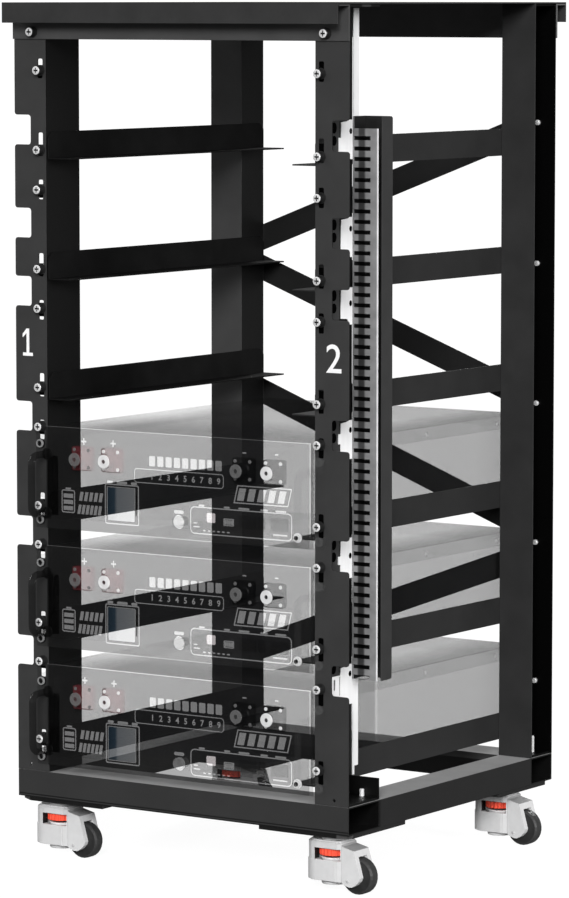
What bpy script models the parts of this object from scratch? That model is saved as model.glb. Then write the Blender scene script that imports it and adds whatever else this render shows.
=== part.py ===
"""Six-level open-frame battery rack on levelling casters, with three rack batteries in its lower levels.

Lengths below are millimetres: x to the right across the rack, y from the front to the back, z up from the floor.
The rack's own axes have x = 0 on its middle plane and y = 0 on the front face of the front posts. Objects are
placed in metres, with the origin on the floor under the middle of the assembly's bounding box.
"""

import math

import bmesh
import bpy
from mathutils import Matrix, Vector
from mathutils.geometry import tessellate_polygon

# ---------------------------------------------------------------- driving dimensions (mm)
SHEET = 2.0  # steel sheet of the frame
GAP = 0.3  # clearance between pieces that touch
HALF_W = 277.4  # outer half width of the frame
OPEN_W = 223.4  # half width of the opening between the post webs
FRONT_WEB = 77.0  # depth of the front post's web
DUCT_WEB = 86.4  # depth of the right web, which carries the duct strip
REAR_Y0, REAR_Y1 = 473.0, 530.4  # front and rear face of the rear posts
BASE_Z0, BASE_Z1 = 85.0, 123.0  # underside and top of the base frame
TOP_Z = 1194.3  # top of the cover
COVER_HALF_W = 277.2
COVER_Y0, COVER_Y1 = -28.3, 558.5
COVER_FLANGE = 28.0
BEAM_HALF_W = 278.4
BEAM_Z0 = 1143.9  # lower edge of the top beams
HOLE_X = 232.55  # half the 465.1 mm column spacing of a 19-inch rack
LEVELS = 6
LEVEL_PITCH = 166.6  # rail and slot pitch
LEDGE_TOP = 980.7  # top face of the first ledge
RAIL_WEB, RAIL_LEDGE, RAIL_Y0, RAIL_Y1 = 38.0, 38.4, 2.5, 528.0
SLOT_W, SLOT_R = 8.4, 1.8  # width and corner radius of the screw slots
SLOTS = ((1103.6, 27.0), (999.4, 32.2))  # centre height and length on the first level
NOTCH_Z = (1019.2, 890.5, 795.8, 621.7, 461.1, 292.6)  # centres of the cable notches
NOTCH_H, NOTCH_DEPTH, NOTCH_R = 41.0, 27.6, 4.0
FLANGE_HOLE_X, FLANGE_HOLE_Z, FLANGE_HOLE_PITCH = 250.0, 1024.7, 199.6
BRACE_W = 36.0
BRACES = (  # left end height, right end height, layer behind the rear posts
    (838.4, 1026.0, 0),
    (811.3, 624.7, 1),
    (628.6, 439.5, 0),
    (227.5, 411.7, 1),
)
DUCT_X0, DUCT_X1, DUCT_Y0, DUCT_Y1 = 227.5, 268.1, 84.0, 113.8
DUCT_Z0, DUCT_Z1, DUCT_WALL = 283.2, 1043.2, 1.5
DUCT_SLOT, DUCT_PITCH, DUCT_SLOTS, DUCT_FIRST = 5.5, 13.99, 53, 1014.0
DUCT_FRONT_TOP = 1027.0  # the slotted wall ends below the duct's top
STRIP_X0, STRIP_X1, STRIP_Y0, STRIP_Y1 = 225.7, 227.2, 86.7, 100.0
TABS = (  # lower end, upper end and hole height of the strip's tabs, and the ends of the small ear on some of them
    (985.7, 1038.6, 1023.3, (996.5, 1015.0)),
    (854.8, 908.4, 892.9, None),
    (764.0, 814.0, 792.7, None),
    (582.6, 635.2, 621.9, (604.5, 618.0)),
    (421.0, 475.6, 451.5, (441.4, 452.5)),
    (249.1, 303.5, 290.7, None),
)
TAB_Y0, EAR_Y0 = 57.3, 51.8
CASTER_X, CASTER_YF, CASTER_YR = 230.0, 38.0, 466.0
PLATE_T = 5.5
TRAIL = 41.0  # axle behind the swivel axis
WHEEL_R, WHEEL_W = 25.0, 18.0
BATTERY_LEVELS = (3, 4, 5)
CASE_HALF_W, CASE_Y0, CASE_Y1, CASE_H, CASE_T = 216.5, 2.4, 525.0, 127.8, 1.5
LID_T, LID_FLANGE = 1.2, 20.3
PANEL_HALF_W, PANEL_T, PANEL_LOW, PANEL_HIGH = 241.3, 2.5, -13.5, 126.5
HANDLE_X, HANDLE_LOW, HANDLE_HIGH, HANDLE_OUT, HANDLE_R = 222.0, 8.0, 90.0, 36.0, 5.0
TERMINALS = (-157.0, -107.0, 113.0, 163.0)
TERMINAL_Z = 87.5
BUTTON_X, BUTTON_Z, BUTTON_R = 2.2, 9.5, 8.9

# origin on the floor under the middle of the bounding box
FRONT_MOST = -GAP - PANEL_T - GAP - HANDLE_OUT - HANDLE_R
X_MID = (CASTER_X + TRAIL + WHEEL_R - BEAM_HALF_W) / 2
Y_MID = (FRONT_MOST + COVER_Y1) / 2

# ---------------------------------------------------------------- clear the scene
for old in list(bpy.data.objects):
    bpy.data.objects.remove(old, do_unlink=True)


def material(name, colour, roughness, metallic):
    made = bpy.data.materials.new(name)
    made.use_nodes = True
    shader = made.node_tree.nodes["Principled BSDF"]
    shader.inputs["Base Color"].default_value = (*colour, 1.0)
    shader.inputs["Roughness"].default_value = roughness
    shader.inputs["Metallic"].default_value = metallic
    return made


FRAME_BLACK = material("frame_black", (0.022, 0.022, 0.023), 0.5, 0.0)
RAIL_BLACK = material("rail_black", (0.018, 0.018, 0.019), 0.5, 0.0)
ZINC = material("zinc_plate", (0.78, 0.79, 0.80), 0.35, 1.0)
DUCT_GREY = material("duct_grey", (0.30, 0.30, 0.31), 0.55, 0.0)
DUCT_DARK = material("duct_cover_grey", (0.05, 0.05, 0.052), 0.5, 0.0)
CASTING = material("caster_casting", (0.72, 0.72, 0.73), 0.45, 0.0)
TREAD = material("wheel_black", (0.03, 0.03, 0.032), 0.6, 0.0)
DIAL_RED = material("dial_red", (0.80, 0.06, 0.03), 0.4, 0.0)
CASE_BLACK = material("battery_case", (0.02, 0.02, 0.021), 0.45, 0.0)
PANEL_BLACK = material("battery_panel", (0.02, 0.02, 0.021), 0.4, 0.0)
HANDLE_BLACK = material("battery_handle", (0.015, 0.015, 0.016), 0.4, 0.0)
CELL_BLUE = material("cell_pack", (0.10, 0.16, 0.30), 0.5, 0.0)
BUTTON_STEEL = material("button_steel", (0.75, 0.75, 0.76), 0.3, 1.0)


# ---------------------------------------------------------------- shapes, as bmesh in rack millimetres
def at(axis, a, b, c):
    """The point with outline coordinates a, b and height c along the extrusion axis."""
    return {"X": (c, a, b), "Y": (a, c, b), "Z": (a, b, c)}[axis]


def prism(axis, outline, low, high, holes=()):
    """A closed prism: outline and holes are (a, b) loops across the axis, in x, y, z order."""
    shape = bmesh.new()
    loops = [list(outline)] + [list(hole) for hole in holes]
    flat = [point for loop in loops for point in loop]
    lower = [shape.verts.new(at(axis, a, b, low)) for a, b in flat]
    upper = [shape.verts.new(at(axis, a, b, high)) for a, b in flat]
    for tri in tessellate_polygon([[Vector((a, b, 0)) for a, b in loop] for loop in loops]):
        shape.faces.new([lower[i] for i in tri])
        shape.faces.new([upper[i] for i in reversed(tri)])
    start = 0
    for loop in loops:
        n = len(loop)
        for i in range(n):
            j = (i + 1) % n
            shape.faces.new((lower[start + i], lower[start + j], upper[start + j], upper[start + i]))
        start += n
    bmesh.ops.recalc_face_normals(shape, faces=shape.faces)
    return shape


def rect(a0, b0, a1, b1):
    return [(a0, b0), (a1, b0), (a1, b1), (a0, b1)]


def box(x0, y0, z0, x1, y1, z1):
    return prism("Z", rect(x0, y0, x1, y1), z0, z1)


def arc(ca, cb, radius, first, last, steps):
    """Points on an arc, angles in degrees."""
    return [
        (
            ca + radius * math.cos(math.radians(first + (last - first) * i / steps)),
            cb + radius * math.sin(math.radians(first + (last - first) * i / steps)),
        )
        for i in range(steps + 1)
    ]


def circle(ca, cb, radius, n, phase=0.0):
    return [
        (ca + radius * math.cos(2 * math.pi * (i + phase) / n), cb + radius * math.sin(2 * math.pi * (i + phase) / n))
        for i in range(n)
    ]


def slot(ca, cb, width, length, steps=3):
    """An upright slot with round ends."""
    r, h = width / 2, (length - width) / 2
    return arc(ca, cb + h, r, 0, 180, steps) + arc(ca, cb - h, r, 180, 360, steps)


def turned(axis_point, axis, profile, n, phase=0.0):
    """A closed turned solid: profile is (radius, along) from one end of the axis to the other."""
    shape = bmesh.new()
    rings = []
    for radius, along in profile:
        if radius < 1e-6:
            rings.append([shape.verts.new(place(axis_point, axis, 0, 0, along))])
        else:
            rings.append([shape.verts.new(place(axis_point, axis, a, b, along)) for a, b in circle(0, 0, radius, n, phase)])
    for one, two in zip(rings, rings[1:]):
        for i in range(n):
            j = (i + 1) % n
            if len(one) == 1:
                shape.faces.new((one[0], two[i], two[j]))
            elif len(two) == 1:
                shape.faces.new((one[i], one[j], two[0]))
            else:
                shape.faces.new((one[i], one[j], two[j], two[i]))
    bmesh.ops.recalc_face_normals(shape, faces=shape.faces)
    return shape


def place(point, axis, a, b, along):
    offset = at(axis, a, b, along)
    return tuple(p + o for p, o in zip(point, offset))


def stacked(levels):
    """A closed solid through outlines with equal point counts at rising heights."""
    shape = bmesh.new()
    rings = [[shape.verts.new((a, b, z)) for a, b in loop] for loop, z in levels]
    for one, two in zip(rings, rings[1:]):
        for i in range(len(one)):
            j = (i + 1) % len(one)
            shape.faces.new((one[i], one[j], two[j], two[i]))
    shape.faces.new(list(reversed(rings[0])))
    shape.faces.new(rings[-1])
    bmesh.ops.recalc_face_normals(shape, faces=shape.faces)
    return shape


def gather(shapes):
    """Several separate shapes in one bmesh, for a cutter."""
    whole = bmesh.new()
    for shape in shapes:
        loose = bpy.data.meshes.new("loose")
        shape.to_mesh(loose)
        whole.from_mesh(loose)
        bpy.data.meshes.remove(loose)
        shape.free()
    return whole


def mirrored(shape):
    """The shape reflected to the other side of the rack's middle plane."""
    bmesh.ops.transform(shape, matrix=Matrix.Scale(-1, 4, (1, 0, 0)), verts=shape.verts)
    bmesh.ops.reverse_faces(shape, faces=shape.faces)
    return shape


def node(name, shape, finish, origin=None, smooth=False):
    """An object in metres whose origin is the given rack point, or the assembly's own origin."""
    ox, oy, oz = origin or (X_MID, Y_MID, 0.0)
    for vertex in shape.verts:
        x, y, z = vertex.co
        vertex.co = ((x - ox) / 1000, (y - oy) / 1000, (z - oz) / 1000)
    mesh = bpy.data.meshes.new(name)
    shape.to_mesh(mesh)
    shape.free()
    if finish:
        mesh.materials.append(finish)
    if smooth:
        mesh.shade_smooth()
        mesh.set_sharp_from_angle(angle=math.radians(35))
    made = bpy.data.objects.new(name, mesh)
    made.location = ((ox - X_MID) / 1000, (oy - Y_MID) / 1000, oz / 1000)
    bpy.context.scene.collection.objects.link(made)
    return made


def boolean(target, shape, operation, tag):
    helper = node(f"{target.name}.{tag}", shape, None)
    helper.hide_render = True
    helper.display_type = "WIRE"
    step = target.modifiers.new(tag, "BOOLEAN")
    step.operation = operation
    step.solver = "EXACT"
    step.object = helper


def cut(target, shapes, tag="cut"):
    boolean(target, gather(shapes), "DIFFERENCE", tag)


def join(target, shapes, tag="join"):
    for i, shape in enumerate(shapes):
        boolean(target, shape, "UNION", f"{tag}{i}")


def sided(shape, side):
    return mirrored(shape) if side < 0 else shape


# ---------------------------------------------------------------- base frame
base = node("base_frame", box(-HALF_W, 0, BASE_Z0, HALF_W, REAR_Y1, BASE_Z1), FRAME_BLACK)
s = SHEET
cut(
    base,
    [
        box(-HALF_W - 10, s, BASE_Z0 + s, HALF_W + 10, FRONT_WEB - s, BASE_Z1 - s),
        box(-HALF_W - 10, REAR_Y0 + s, BASE_Z0 + s, HALF_W + 10, REAR_Y1 - s, BASE_Z1 - s),
        box(-OPEN_W, FRONT_WEB, BASE_Z0 - 10, OPEN_W, REAR_Y0, BASE_Z1 + 10),
        box(OPEN_W + s, FRONT_WEB + s, BASE_Z0 - 10, HALF_W - s, REAR_Y0 - s, BASE_Z1 - s),
        box(-HALF_W + s, FRONT_WEB + s, BASE_Z0 - 10, -OPEN_W - s, REAR_Y0 - s, BASE_Z1 - s),
    ],
)
PLATE_Z0 = BASE_Z0 - PLATE_T
for side in (-1, 1):
    front = [(131.7, 0.4), (257.5, 0.4), (277.0, 13.0), (277.0, 142.0), (131.7, 142.0)]
    rear = [(131.7, 388.0), (277.0, 388.0), (277.0, 513.0), (257.5, 530.0), (131.7, 530.0)]
    join(
        base,
        [sided(prism("Z", loop, PLATE_Z0, BASE_Z0 + 0.6), side) for loop in (front, rear)],
        f"plate{side + 1}",
    )

# ---------------------------------------------------------------- posts
POST_Z0, POST_Z1 = BASE_Z1 + GAP, TOP_Z - SHEET - GAP


def notch(z):
    """The cable notch in the outer edge of a front flange, with rounded inner and outer corners."""
    inner, outer, half, r = HALF_W - NOTCH_DEPTH, HALF_W, NOTCH_H / 2, NOTCH_R
    loop = [(outer + 12, z + half + r), (outer, z + half + r)]
    loop += arc(outer - r, z + half + r, r, 0, -90, 3)[1:]
    loop += arc(inner + r, z + half - r, r, 90, 180, 3)
    loop += arc(inner + r, z - half + r, r, 180, 270, 3)
    loop += arc(outer - r, z - half - r, r, 90, 0, 3)
    loop += [(outer + 12, z - half - r)]
    return prism("Y", loop, -6, 8)


for side, word in ((-1, "left"), (1, "right")):
    deep = FRONT_WEB if side < 0 else DUCT_WEB
    angle = [
        (OPEN_W, 0),
        (HALF_W, 0),
        (HALF_W, s),
        (OPEN_W + s, s),
        (OPEN_W + s, deep),
        (OPEN_W, deep),
    ]
    post = node(f"post_front_{word}", sided(prism("Z", angle, POST_Z0, POST_Z1), side), FRAME_BLACK)
    holes = [notch(z) for z in NOTCH_Z]
    for level in range(LEVELS):
        for z, length in SLOTS:
            middle, half, reach = z - LEVEL_PITCH * level, SLOT_W / 2 - SLOT_R, length / 2 - SLOT_R
            corners = ((half, reach, 0), (-half, reach, 90), (-half, -reach, 180), (half, -reach, 270))
            loop = [p for a, b, t in corners for p in arc(HOLE_X + 0.4 + a, middle + b, SLOT_R, t, t + 90, 2)]
            holes.append(prism("Y", loop, -6, 8))
    holes.append(prism("Y", circle(254.5, 131.0, 2.3, 10), -6, 8))
    cut(post, [sided(shape, side) for shape in holes])
    foot = [
        box(OPEN_W + 1, 1, POST_Z0 + 0.2, 275.5, FRONT_WEB - 0.4, POST_Z0 + 3.2),
        box(OPEN_W + 1.2, FRONT_WEB - 3, POST_Z0 + 1.2, 277.2, FRONT_WEB - 0.8, 152.9),
        box(OPEN_W + 1, 1, POST_Z1 - 3.2, 275.5, FRONT_WEB - 0.4, POST_Z1 - 0.2),
    ]
    join(post, [sided(shape, side) for shape in foot])

    channel = [
        (OPEN_W, REAR_Y0),
        (HALF_W, REAR_Y0),
        (HALF_W, REAR_Y0 + s),
        (OPEN_W + s, REAR_Y0 + s),
        (OPEN_W + s, REAR_Y1 - s),
        (HALF_W, REAR_Y1 - s),
        (HALF_W, REAR_Y1),
        (OPEN_W, REAR_Y1),
    ]
    post = node(f"post_rear_{word}", sided(prism("Z", channel, POST_Z0, POST_Z1), side), FRAME_BLACK)
    bored = [
        prism("Y", circle(FLANGE_HOLE_X, FLANGE_HOLE_Z - FLANGE_HOLE_PITCH * i, 3.5, 10), REAR_Y1 - 8, REAR_Y1 + 8)
        for i in range(5)
    ]
    cut(post, [sided(shape, side) for shape in bored])
    ends = [
        box(OPEN_W + 1, REAR_Y0 + 1, POST_Z0 + 0.2, 275.5, REAR_Y1 - 1, POST_Z0 + 3.2),
        box(OPEN_W + 1, REAR_Y0 + 1, POST_Z1 - 3.2, 275.5, REAR_Y1 - 1, POST_Z1 - 0.2),
    ]
    join(post, [sided(shape, side) for shape in ends])

# ---------------------------------------------------------------- top cover and beams
under = TOP_Z - SHEET
low = TOP_Z - COVER_FLANGE
profile = [
    (COVER_Y0, low),
    (COVER_Y0 + s, low),
    (COVER_Y0 + s, under),
    (COVER_Y1 - s, under),
    (COVER_Y1 - s, low),
    (COVER_Y1, low),
    (COVER_Y1, TOP_Z),
    (COVER_Y0, TOP_Z),
]
node("top_cover", prism("X", profile, -COVER_HALF_W, COVER_HALF_W), FRAME_BLACK)
high = under - 0.4
profile = [
    (-GAP, BEAM_Z0),
    (-GAP, high),
    (COVER_Y0 + s + 1.5, high),
    (COVER_Y0 + s + 1.5, high - s),
    (-GAP - s, high - s),
    (-GAP - s, BEAM_Z0),
]
node("top_front_beam", prism("X", profile, -BEAM_HALF_W, BEAM_HALF_W), FRAME_BLACK)
profile = [(REAR_Y1 - y if y > -5 else COVER_Y1 - s - 1.5, z) for y, z in profile]
node("top_rear_beam", prism("X", profile, -BEAM_HALF_W, BEAM_HALF_W), FRAME_BLACK)

# ---------------------------------------------------------------- rails
for level in range(LEVELS):
    z0 = LEDGE_TOP - s - LEVEL_PITCH * level
    x1 = OPEN_W - GAP
    corner = [(x1 - RAIL_LEDGE, z0), (x1, z0), (x1, z0 + RAIL_WEB), (x1 - s, z0 + RAIL_WEB), (x1 - s, z0 + s), (x1 - RAIL_LEDGE, z0 + s)]
    top = z0 + RAIL_WEB
    for side, letter in ((-1, "l"), (1, "r")):
        rail = node(f"rail_{letter}{level + 1}", sided(prism("Y", corner, RAIL_Y0, RAIL_Y1), side), RAIL_BLACK)
        wedge = []
        for y, way in ((RAIL_Y0, 1), (RAIL_Y1, -1)):
            loop = [(y - 6 * way, top - 15), (y + 15 * way, top + 6), (y - 6 * way, top + 6)]
            wedge.append(sided(prism("X", loop, x1 - s - 4, x1 + 4), side))
        cut(rail, wedge)

# ---------------------------------------------------------------- rear braces
for i, (zl, zr, layer) in enumerate(BRACES):
    run, rise = 2 * FLANGE_HOLE_X, zr - zl
    length = math.hypot(run, rise)
    ux, uz = run / length, rise / length
    half = length / 2 + 16
    loop = []
    for along, across in (
        (-half, -0.25), (-half + 9, -0.5), (half - 9, -0.5), (half, -0.25),
        (half, 0.25), (half - 9, 0.5), (-half + 9, 0.5), (-half, 0.25),
    ):
        loop.append((along * ux - across * BRACE_W * uz, (zl + zr) / 2 + along * uz + across * BRACE_W * ux))
    y0 = REAR_Y1 + GAP + layer * (s + GAP)
    node(f"brace_{i + 1}", prism("Y", loop, y0, y0 + s), FRAME_BLACK)

# ---------------------------------------------------------------- cable duct on the right front post
outline = [(STRIP_Y0, 151.0), (91.0, 151.0), (91.0, 163.0), (STRIP_Y1, 163.0), (STRIP_Y1, 1187.0), (STRIP_Y0, 1187.0)]
openings = []
for low, high, hole, ear in TABS:
    outline += [(STRIP_Y0, high), (75.0, high), (72.0, high - 2.0), (TAB_Y0, high - 3.0)]
    if low == TABS[-1][0]:
        # the lowest tab carries an ear with a slot, set off by a narrow slit
        outline += [(TAB_Y0, 291.0), (36.0, 291.0), (36.0, 265.5), (39.5, 261.5), (TAB_Y0, 261.5)]
        openings += [rect(54.0, 263.5, 56.8, 289.0), slot(42.3, 279.2, 4.2, 16.0)]
    if ear:
        outline += [(TAB_Y0, ear[1]), (EAR_Y0, ear[1]), (EAR_Y0, ear[0]), (TAB_Y0, ear[0])]
    outline += [(TAB_Y0, low + 9.0), (72.0, low + 8.0), (75.0, low + 5.0), (75.0, low), (STRIP_Y0, low)]
    openings.append(slot(79.7, hole, 6.6, 7.2))
node("duct_bracket", prism("X", outline, STRIP_X0, STRIP_X1, openings), ZINC)

w = DUCT_WALL
trough = [
    (DUCT_X0, DUCT_Y0),
    (DUCT_X1, DUCT_Y0),
    (DUCT_X1, DUCT_Y0 + w),
    (DUCT_X0 + w, DUCT_Y0 + w),
    (DUCT_X0 + w, DUCT_Y1 - w),
    (DUCT_X1, DUCT_Y1 - w),
    (DUCT_X1, DUCT_Y1),
    (DUCT_X0, DUCT_Y1),
]
duct = node("duct_body", prism("Z", trough, DUCT_Z0, DUCT_Z1), DUCT_GREY)
slits = []
for i in range(DUCT_SLOTS):
    z = DUCT_FIRST - DUCT_PITCH * i
    slits.append(box(229.6, DUCT_Y0 - 4, z - DUCT_SLOT / 2, 256.0, DUCT_Y0 + 5, z + DUCT_SLOT / 2))
slits.append(box(DUCT_X0 + w + 0.4, DUCT_Y0 - 4, DUCT_FRONT_TOP, DUCT_X1 + 5, DUCT_Y0 + 5, DUCT_Z1 + 5))
cut(duct, slits)

# cover plate set back from the slotted wall, with rounded rear corners and a lip that grips inside the rear wall
lid_x, corner, lid_y = DUCT_X1 + 2.8, 4.0, DUCT_Y0 + 3.6
plate = [(lid_y, DUCT_Z0)] + arc(DUCT_Y1 - corner, DUCT_Z0 + corner, corner, -90, 0, 4)
plate += arc(DUCT_Y1 - corner, DUCT_Z1 - corner, corner, 0, 90, 4) + [(lid_y, DUCT_Z1)]
lid = node("duct_cover", prism("X", plate, lid_x, lid_x + w), DUCT_DARK, origin=(lid_x, DUCT_Y0, DUCT_Z0))
join(lid, [box(lid_x - 2.3, DUCT_Y1 - w - GAP - w, DUCT_Z0 + 6, lid_x + 0.6, DUCT_Y1 - w - GAP, DUCT_Z1 - 18)])

# ---------------------------------------------------------------- levelling casters
SEG = 28
for name, cx, cy in (
    ("fl", -CASTER_X, CASTER_YF),
    ("fr", CASTER_X, CASTER_YF),
    ("rl", -CASTER_X, CASTER_YR),
    ("rr", CASTER_X, CASTER_YR),
):
    swivel = (cx, cy, 0.0)

    def moved(loop, dx=cx, dy=cy):
        return [(a + dx, b + dy) for a, b in loop]

    # long round-ended body with a sloped crown under the swivel cap
    barrel = arc(-15.5, 0, 22.0, 90, 270, 8) + [(18.0, -22.0), (24.0, -18.0), (24.0, 18.0), (18.0, 22.0)]
    crown = [(a * 0.85, b * 0.85) for a, b in barrel]
    body = stacked([(moved(barrel), 16.5), (moved(barrel), 68.0), (moved(crown), 72.0)])
    housing = node(f"caster_{name}_housing", body, CASTING, origin=swivel, smooth=True)
    arm = [(cx + a, b) for a, b in (
        (8.0, 66.5), (19.0, 66.5), (43.0, 61.0), (46.5, 50.0), (50.5, 36.0), (53.5, 25.0), (51.5, 20.0), (46.0, 14.5),
        (40.0, 11.2), (35.0, 11.0), (28.0, 13.0), (22.0, 17.2), (8.0, 17.2),
    )]
    join(housing, [
        prism("Y", arm, cy - 18.5, cy + 18.5),
        prism("Z", circle(cx, cy, 17.0, 20), 70.0, PLATE_Z0 - GAP),
    ])
    axle = (cx + TRAIL, cy, WHEEL_R)
    fork = WHEEL_W / 2 + 1.4
    well = [
        turned(axle, "Y", [(0, -fork), (28.0, -fork), (28.0, fork), (0, fork)], 20),
        turned(axle, "Y", [(0, -15.5), (4.5, -15.5), (4.5, 15.5), (0, 15.5)], 10),
        box(cx + TRAIL - 6, cy - fork, -5.0, cx + TRAIL + 40, cy + fork, WHEEL_R + 1),
    ]
    # the wheel well and the axle holes share a region, so they are separate cuts
    for i, shape in enumerate(well):
        cut(housing, [shape], f"well{i}")
    core = [
        turned(swivel, "Z", [(0, 31.5), (20.8, 31.5), (20.8, 61.5), (0, 61.5)], 24),
        turned(swivel, "Z", [(0, 5.0), (6.8, 5.0), (6.8, 50.0), (0, 50.0)], 10),
        box(cx - 18.4, cy - 30, 45.0, cx + 22.2, cy + 30, 61.0),
    ]
    for i, shape in enumerate(core):
        cut(housing, [shape], f"core{i}")

    rim = WHEEL_R / math.cos(math.pi / SEG)
    half = WHEEL_W / 2
    tread = [(0, -15.0), (4.0, -15.0), (4.0, -half), (rim - 2.0, -half), (rim, -half + 3.0)]
    tread += [(r, -y) for r, y in reversed(tread)]
    node(f"caster_{name}_wheel", turned(axle, "Y", tread, SEG, 0.5), TREAD, origin=axle, smooth=True)

    # pad, stem, collar and hand dial of the levelling foot
    stem = [
        (0, 10.5), (15.8, 10.5), (17.2, 12.0), (17.2, 14.6), (6.2, 15.6), (6.2, 43.1), (15.5, 43.1), (15.5, 48.0),
        (13.0, 48.0), (13.0, 50.3), (20.0, 50.3), (20.0, 59.8), (0, 59.8),
    ]
    node(f"caster_{name}_foot", turned(swivel, "Z", stem, 20), DIAL_RED, origin=(cx, cy, 10.5), smooth=True)

# ---------------------------------------------------------------- batteries
PANEL_Y0, PANEL_Y1 = -GAP - PANEL_T, -GAP
for number, level in enumerate(BATTERY_LEVELS, 1):
    shelf = LEDGE_TOP - LEVEL_PITCH * level
    tag = f"battery{number}"
    z0 = shelf + GAP
    tray = node(f"{tag}_case", box(-CASE_HALF_W, CASE_Y0, z0, CASE_HALF_W, CASE_Y1, shelf + CASE_H), CASE_BLACK)
    t = CASE_T
    cut(tray, [box(-CASE_HALF_W + t, -10, z0 + t, CASE_HALF_W - t, CASE_Y1 - t, shelf + CASE_H + 10)])

    top = shelf + CASE_H + GAP + LID_T
    out = CASE_HALF_W + GAP + LID_T
    lid = node(f"{tag}_lid", box(-out, CASE_Y0 + 0.2, top - LID_FLANGE, out, CASE_Y1 + GAP + LID_T, top), CASE_BLACK)
    cut(lid, [box(-out + LID_T, -10, top - LID_FLANGE - 10, out - LID_T, CASE_Y1 + GAP, top - LID_T)])

    loop = [(-PANEL_HALF_W, shelf + PANEL_LOW), (PANEL_HALF_W, shelf + PANEL_LOW), (PANEL_HALF_W, shelf + PANEL_HIGH)]
    for x in (HOLE_X, -HOLE_X):
        z = shelf + PANEL_HIGH
        loop += [(x + 7.0, z), (x + 7.0, z - 4.0)] + arc(x, z - 4.0, 7.0, 0, -180, 6)[1:] + [(x - 7.0, z)]
    loop += [(-PANEL_HALF_W, shelf + PANEL_HIGH)]
    pierced = [circle(BUTTON_X, shelf + BUTTON_Z, BUTTON_R + 2 * GAP, 16)]
    pierced += [slot(x, shelf + 20.5, 7.0, 17.0) for x in (-HOLE_X, HOLE_X)]
    panel = node(f"{tag}_front_panel", prism("Y", loop, PANEL_Y0, PANEL_Y1, pierced), PANEL_BLACK)
    blocks = []
    for x in TERMINALS:
        z = shelf + TERMINAL_Z
        blocks.append(prism("Y", rect(x - 16.5, z - 16.5, x + 16.5, z + 16.5), PANEL_Y0 - 11.0, PANEL_Y0 + 1.2))
        blocks.append(turned((x, 0, z), "Y", [(0, PANEL_Y0 - 25.0), (9.5, PANEL_Y0 - 25.0), (9.5, PANEL_Y0 - 9.5), (0, PANEL_Y0 - 9.5)], 12))
    join(panel, blocks, "terminal")

    for side, word in ((-1, "left"), (1, "right")):
        y0, y1 = PANEL_Y0 - GAP, PANEL_Y0 - GAP - HANDLE_OUT
        zl, zh, r = shelf + HANDLE_LOW, shelf + HANDLE_HIGH, 12.0
        path = [(y0, zh)] + arc(y1 + r, zh - r, r, 90, 180, 4) + arc(y1 + r, zl + r, r, 180, 270, 4) + [(y0, zl)]
        origin = (side * HANDLE_X, y0, (zl + zh) / 2)
        bow = bpy.data.curves.new(f"{tag}_handle_{word}", "CURVE")
        bow.dimensions = "3D"
        bow.bevel_depth = HANDLE_R / 1000
        bow.bevel_resolution = 2
        bow.use_fill_caps = True
        line = bow.splines.new("POLY")
        line.points.add(len(path) - 1)
        for point, (y, z) in zip(line.points, path):
            point.co = (0.0, (y - origin[1]) / 1000, (z - origin[2]) / 1000, 1.0)
        bow.materials.append(HANDLE_BLACK)
        handle = bpy.data.objects.new(f"{tag}_handle_{word}", bow)
        handle.location = ((origin[0] - X_MID) / 1000, (origin[1] - Y_MID) / 1000, origin[2] / 1000)
        bpy.context.scene.collection.objects.link(handle)

    # cell block in two rows, with the control board carried on standoffs at its front
    cells = node(f"{tag}_cell_pack", box(-190.0, 50.0, shelf + 4.0, 190.0, 480.0, shelf + 95.0), CELL_BLUE)
    grooves = [box(-1.0, 40.0, shelf + 89.0, 1.0, 490.0, shelf + 110.0)]
    cut(cells, grooves, "row")
    cut(cells, [box(-200.0, 50.0 + 430.0 * i / 8 - 1.0, shelf + 91.0, 200.0, 50.0 + 430.0 * i / 8 + 1.0, shelf + 110.0) for i in (2, 4, 6)], "cell")
    join(cells, [box(-150.0, 24.0, shelf + 14.0, 150.0, 27.0, shelf + 92.0)]
         + [box(x - 5.0, 25.0, z - 5.0, x + 5.0, 55.0, z + 5.0) for x in (-140.0, 140.0) for z in (shelf + 50.0,)], "board")

    pressed = (BUTTON_X, 0.0, shelf + BUTTON_Z)
    stud = [(0, -7.2), (7.6, -7.2), (BUTTON_R, -6.2), (BUTTON_R, -0.5), (6.4, -0.2), (6.4, 12.0), (0, 12.0)]
    node(f"{tag}_power_button", turned(pressed, "Y", stud, 16), BUTTON_STEEL, origin=pressed, smooth=True)
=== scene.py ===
"""Looks of the open-frame battery rack: finishes of the steel, duct and casters, fasteners, and the see-through batteries.

Shapes are written in the rack's own millimetres: x to the right from the middle plane, y from the front face of the
front posts to the back, z up from the floor. P() turns them into the frame's metres.
"""

import math

import bmesh
import bpy
from mathutils import Matrix, Vector
from mathutils.geometry import tessellate_polygon


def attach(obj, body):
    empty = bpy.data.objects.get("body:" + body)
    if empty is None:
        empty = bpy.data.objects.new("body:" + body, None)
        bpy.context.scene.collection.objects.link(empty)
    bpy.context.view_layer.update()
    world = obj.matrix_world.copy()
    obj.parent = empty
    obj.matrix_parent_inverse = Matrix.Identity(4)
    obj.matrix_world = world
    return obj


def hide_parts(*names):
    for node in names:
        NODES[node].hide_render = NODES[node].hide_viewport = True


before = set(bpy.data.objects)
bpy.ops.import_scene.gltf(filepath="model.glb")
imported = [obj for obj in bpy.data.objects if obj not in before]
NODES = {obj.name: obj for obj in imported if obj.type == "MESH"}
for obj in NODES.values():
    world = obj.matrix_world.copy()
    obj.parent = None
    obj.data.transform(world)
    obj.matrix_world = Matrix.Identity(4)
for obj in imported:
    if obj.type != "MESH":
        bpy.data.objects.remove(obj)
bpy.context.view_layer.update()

X_MID, Y_MID = 8.8, 257.2

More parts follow.
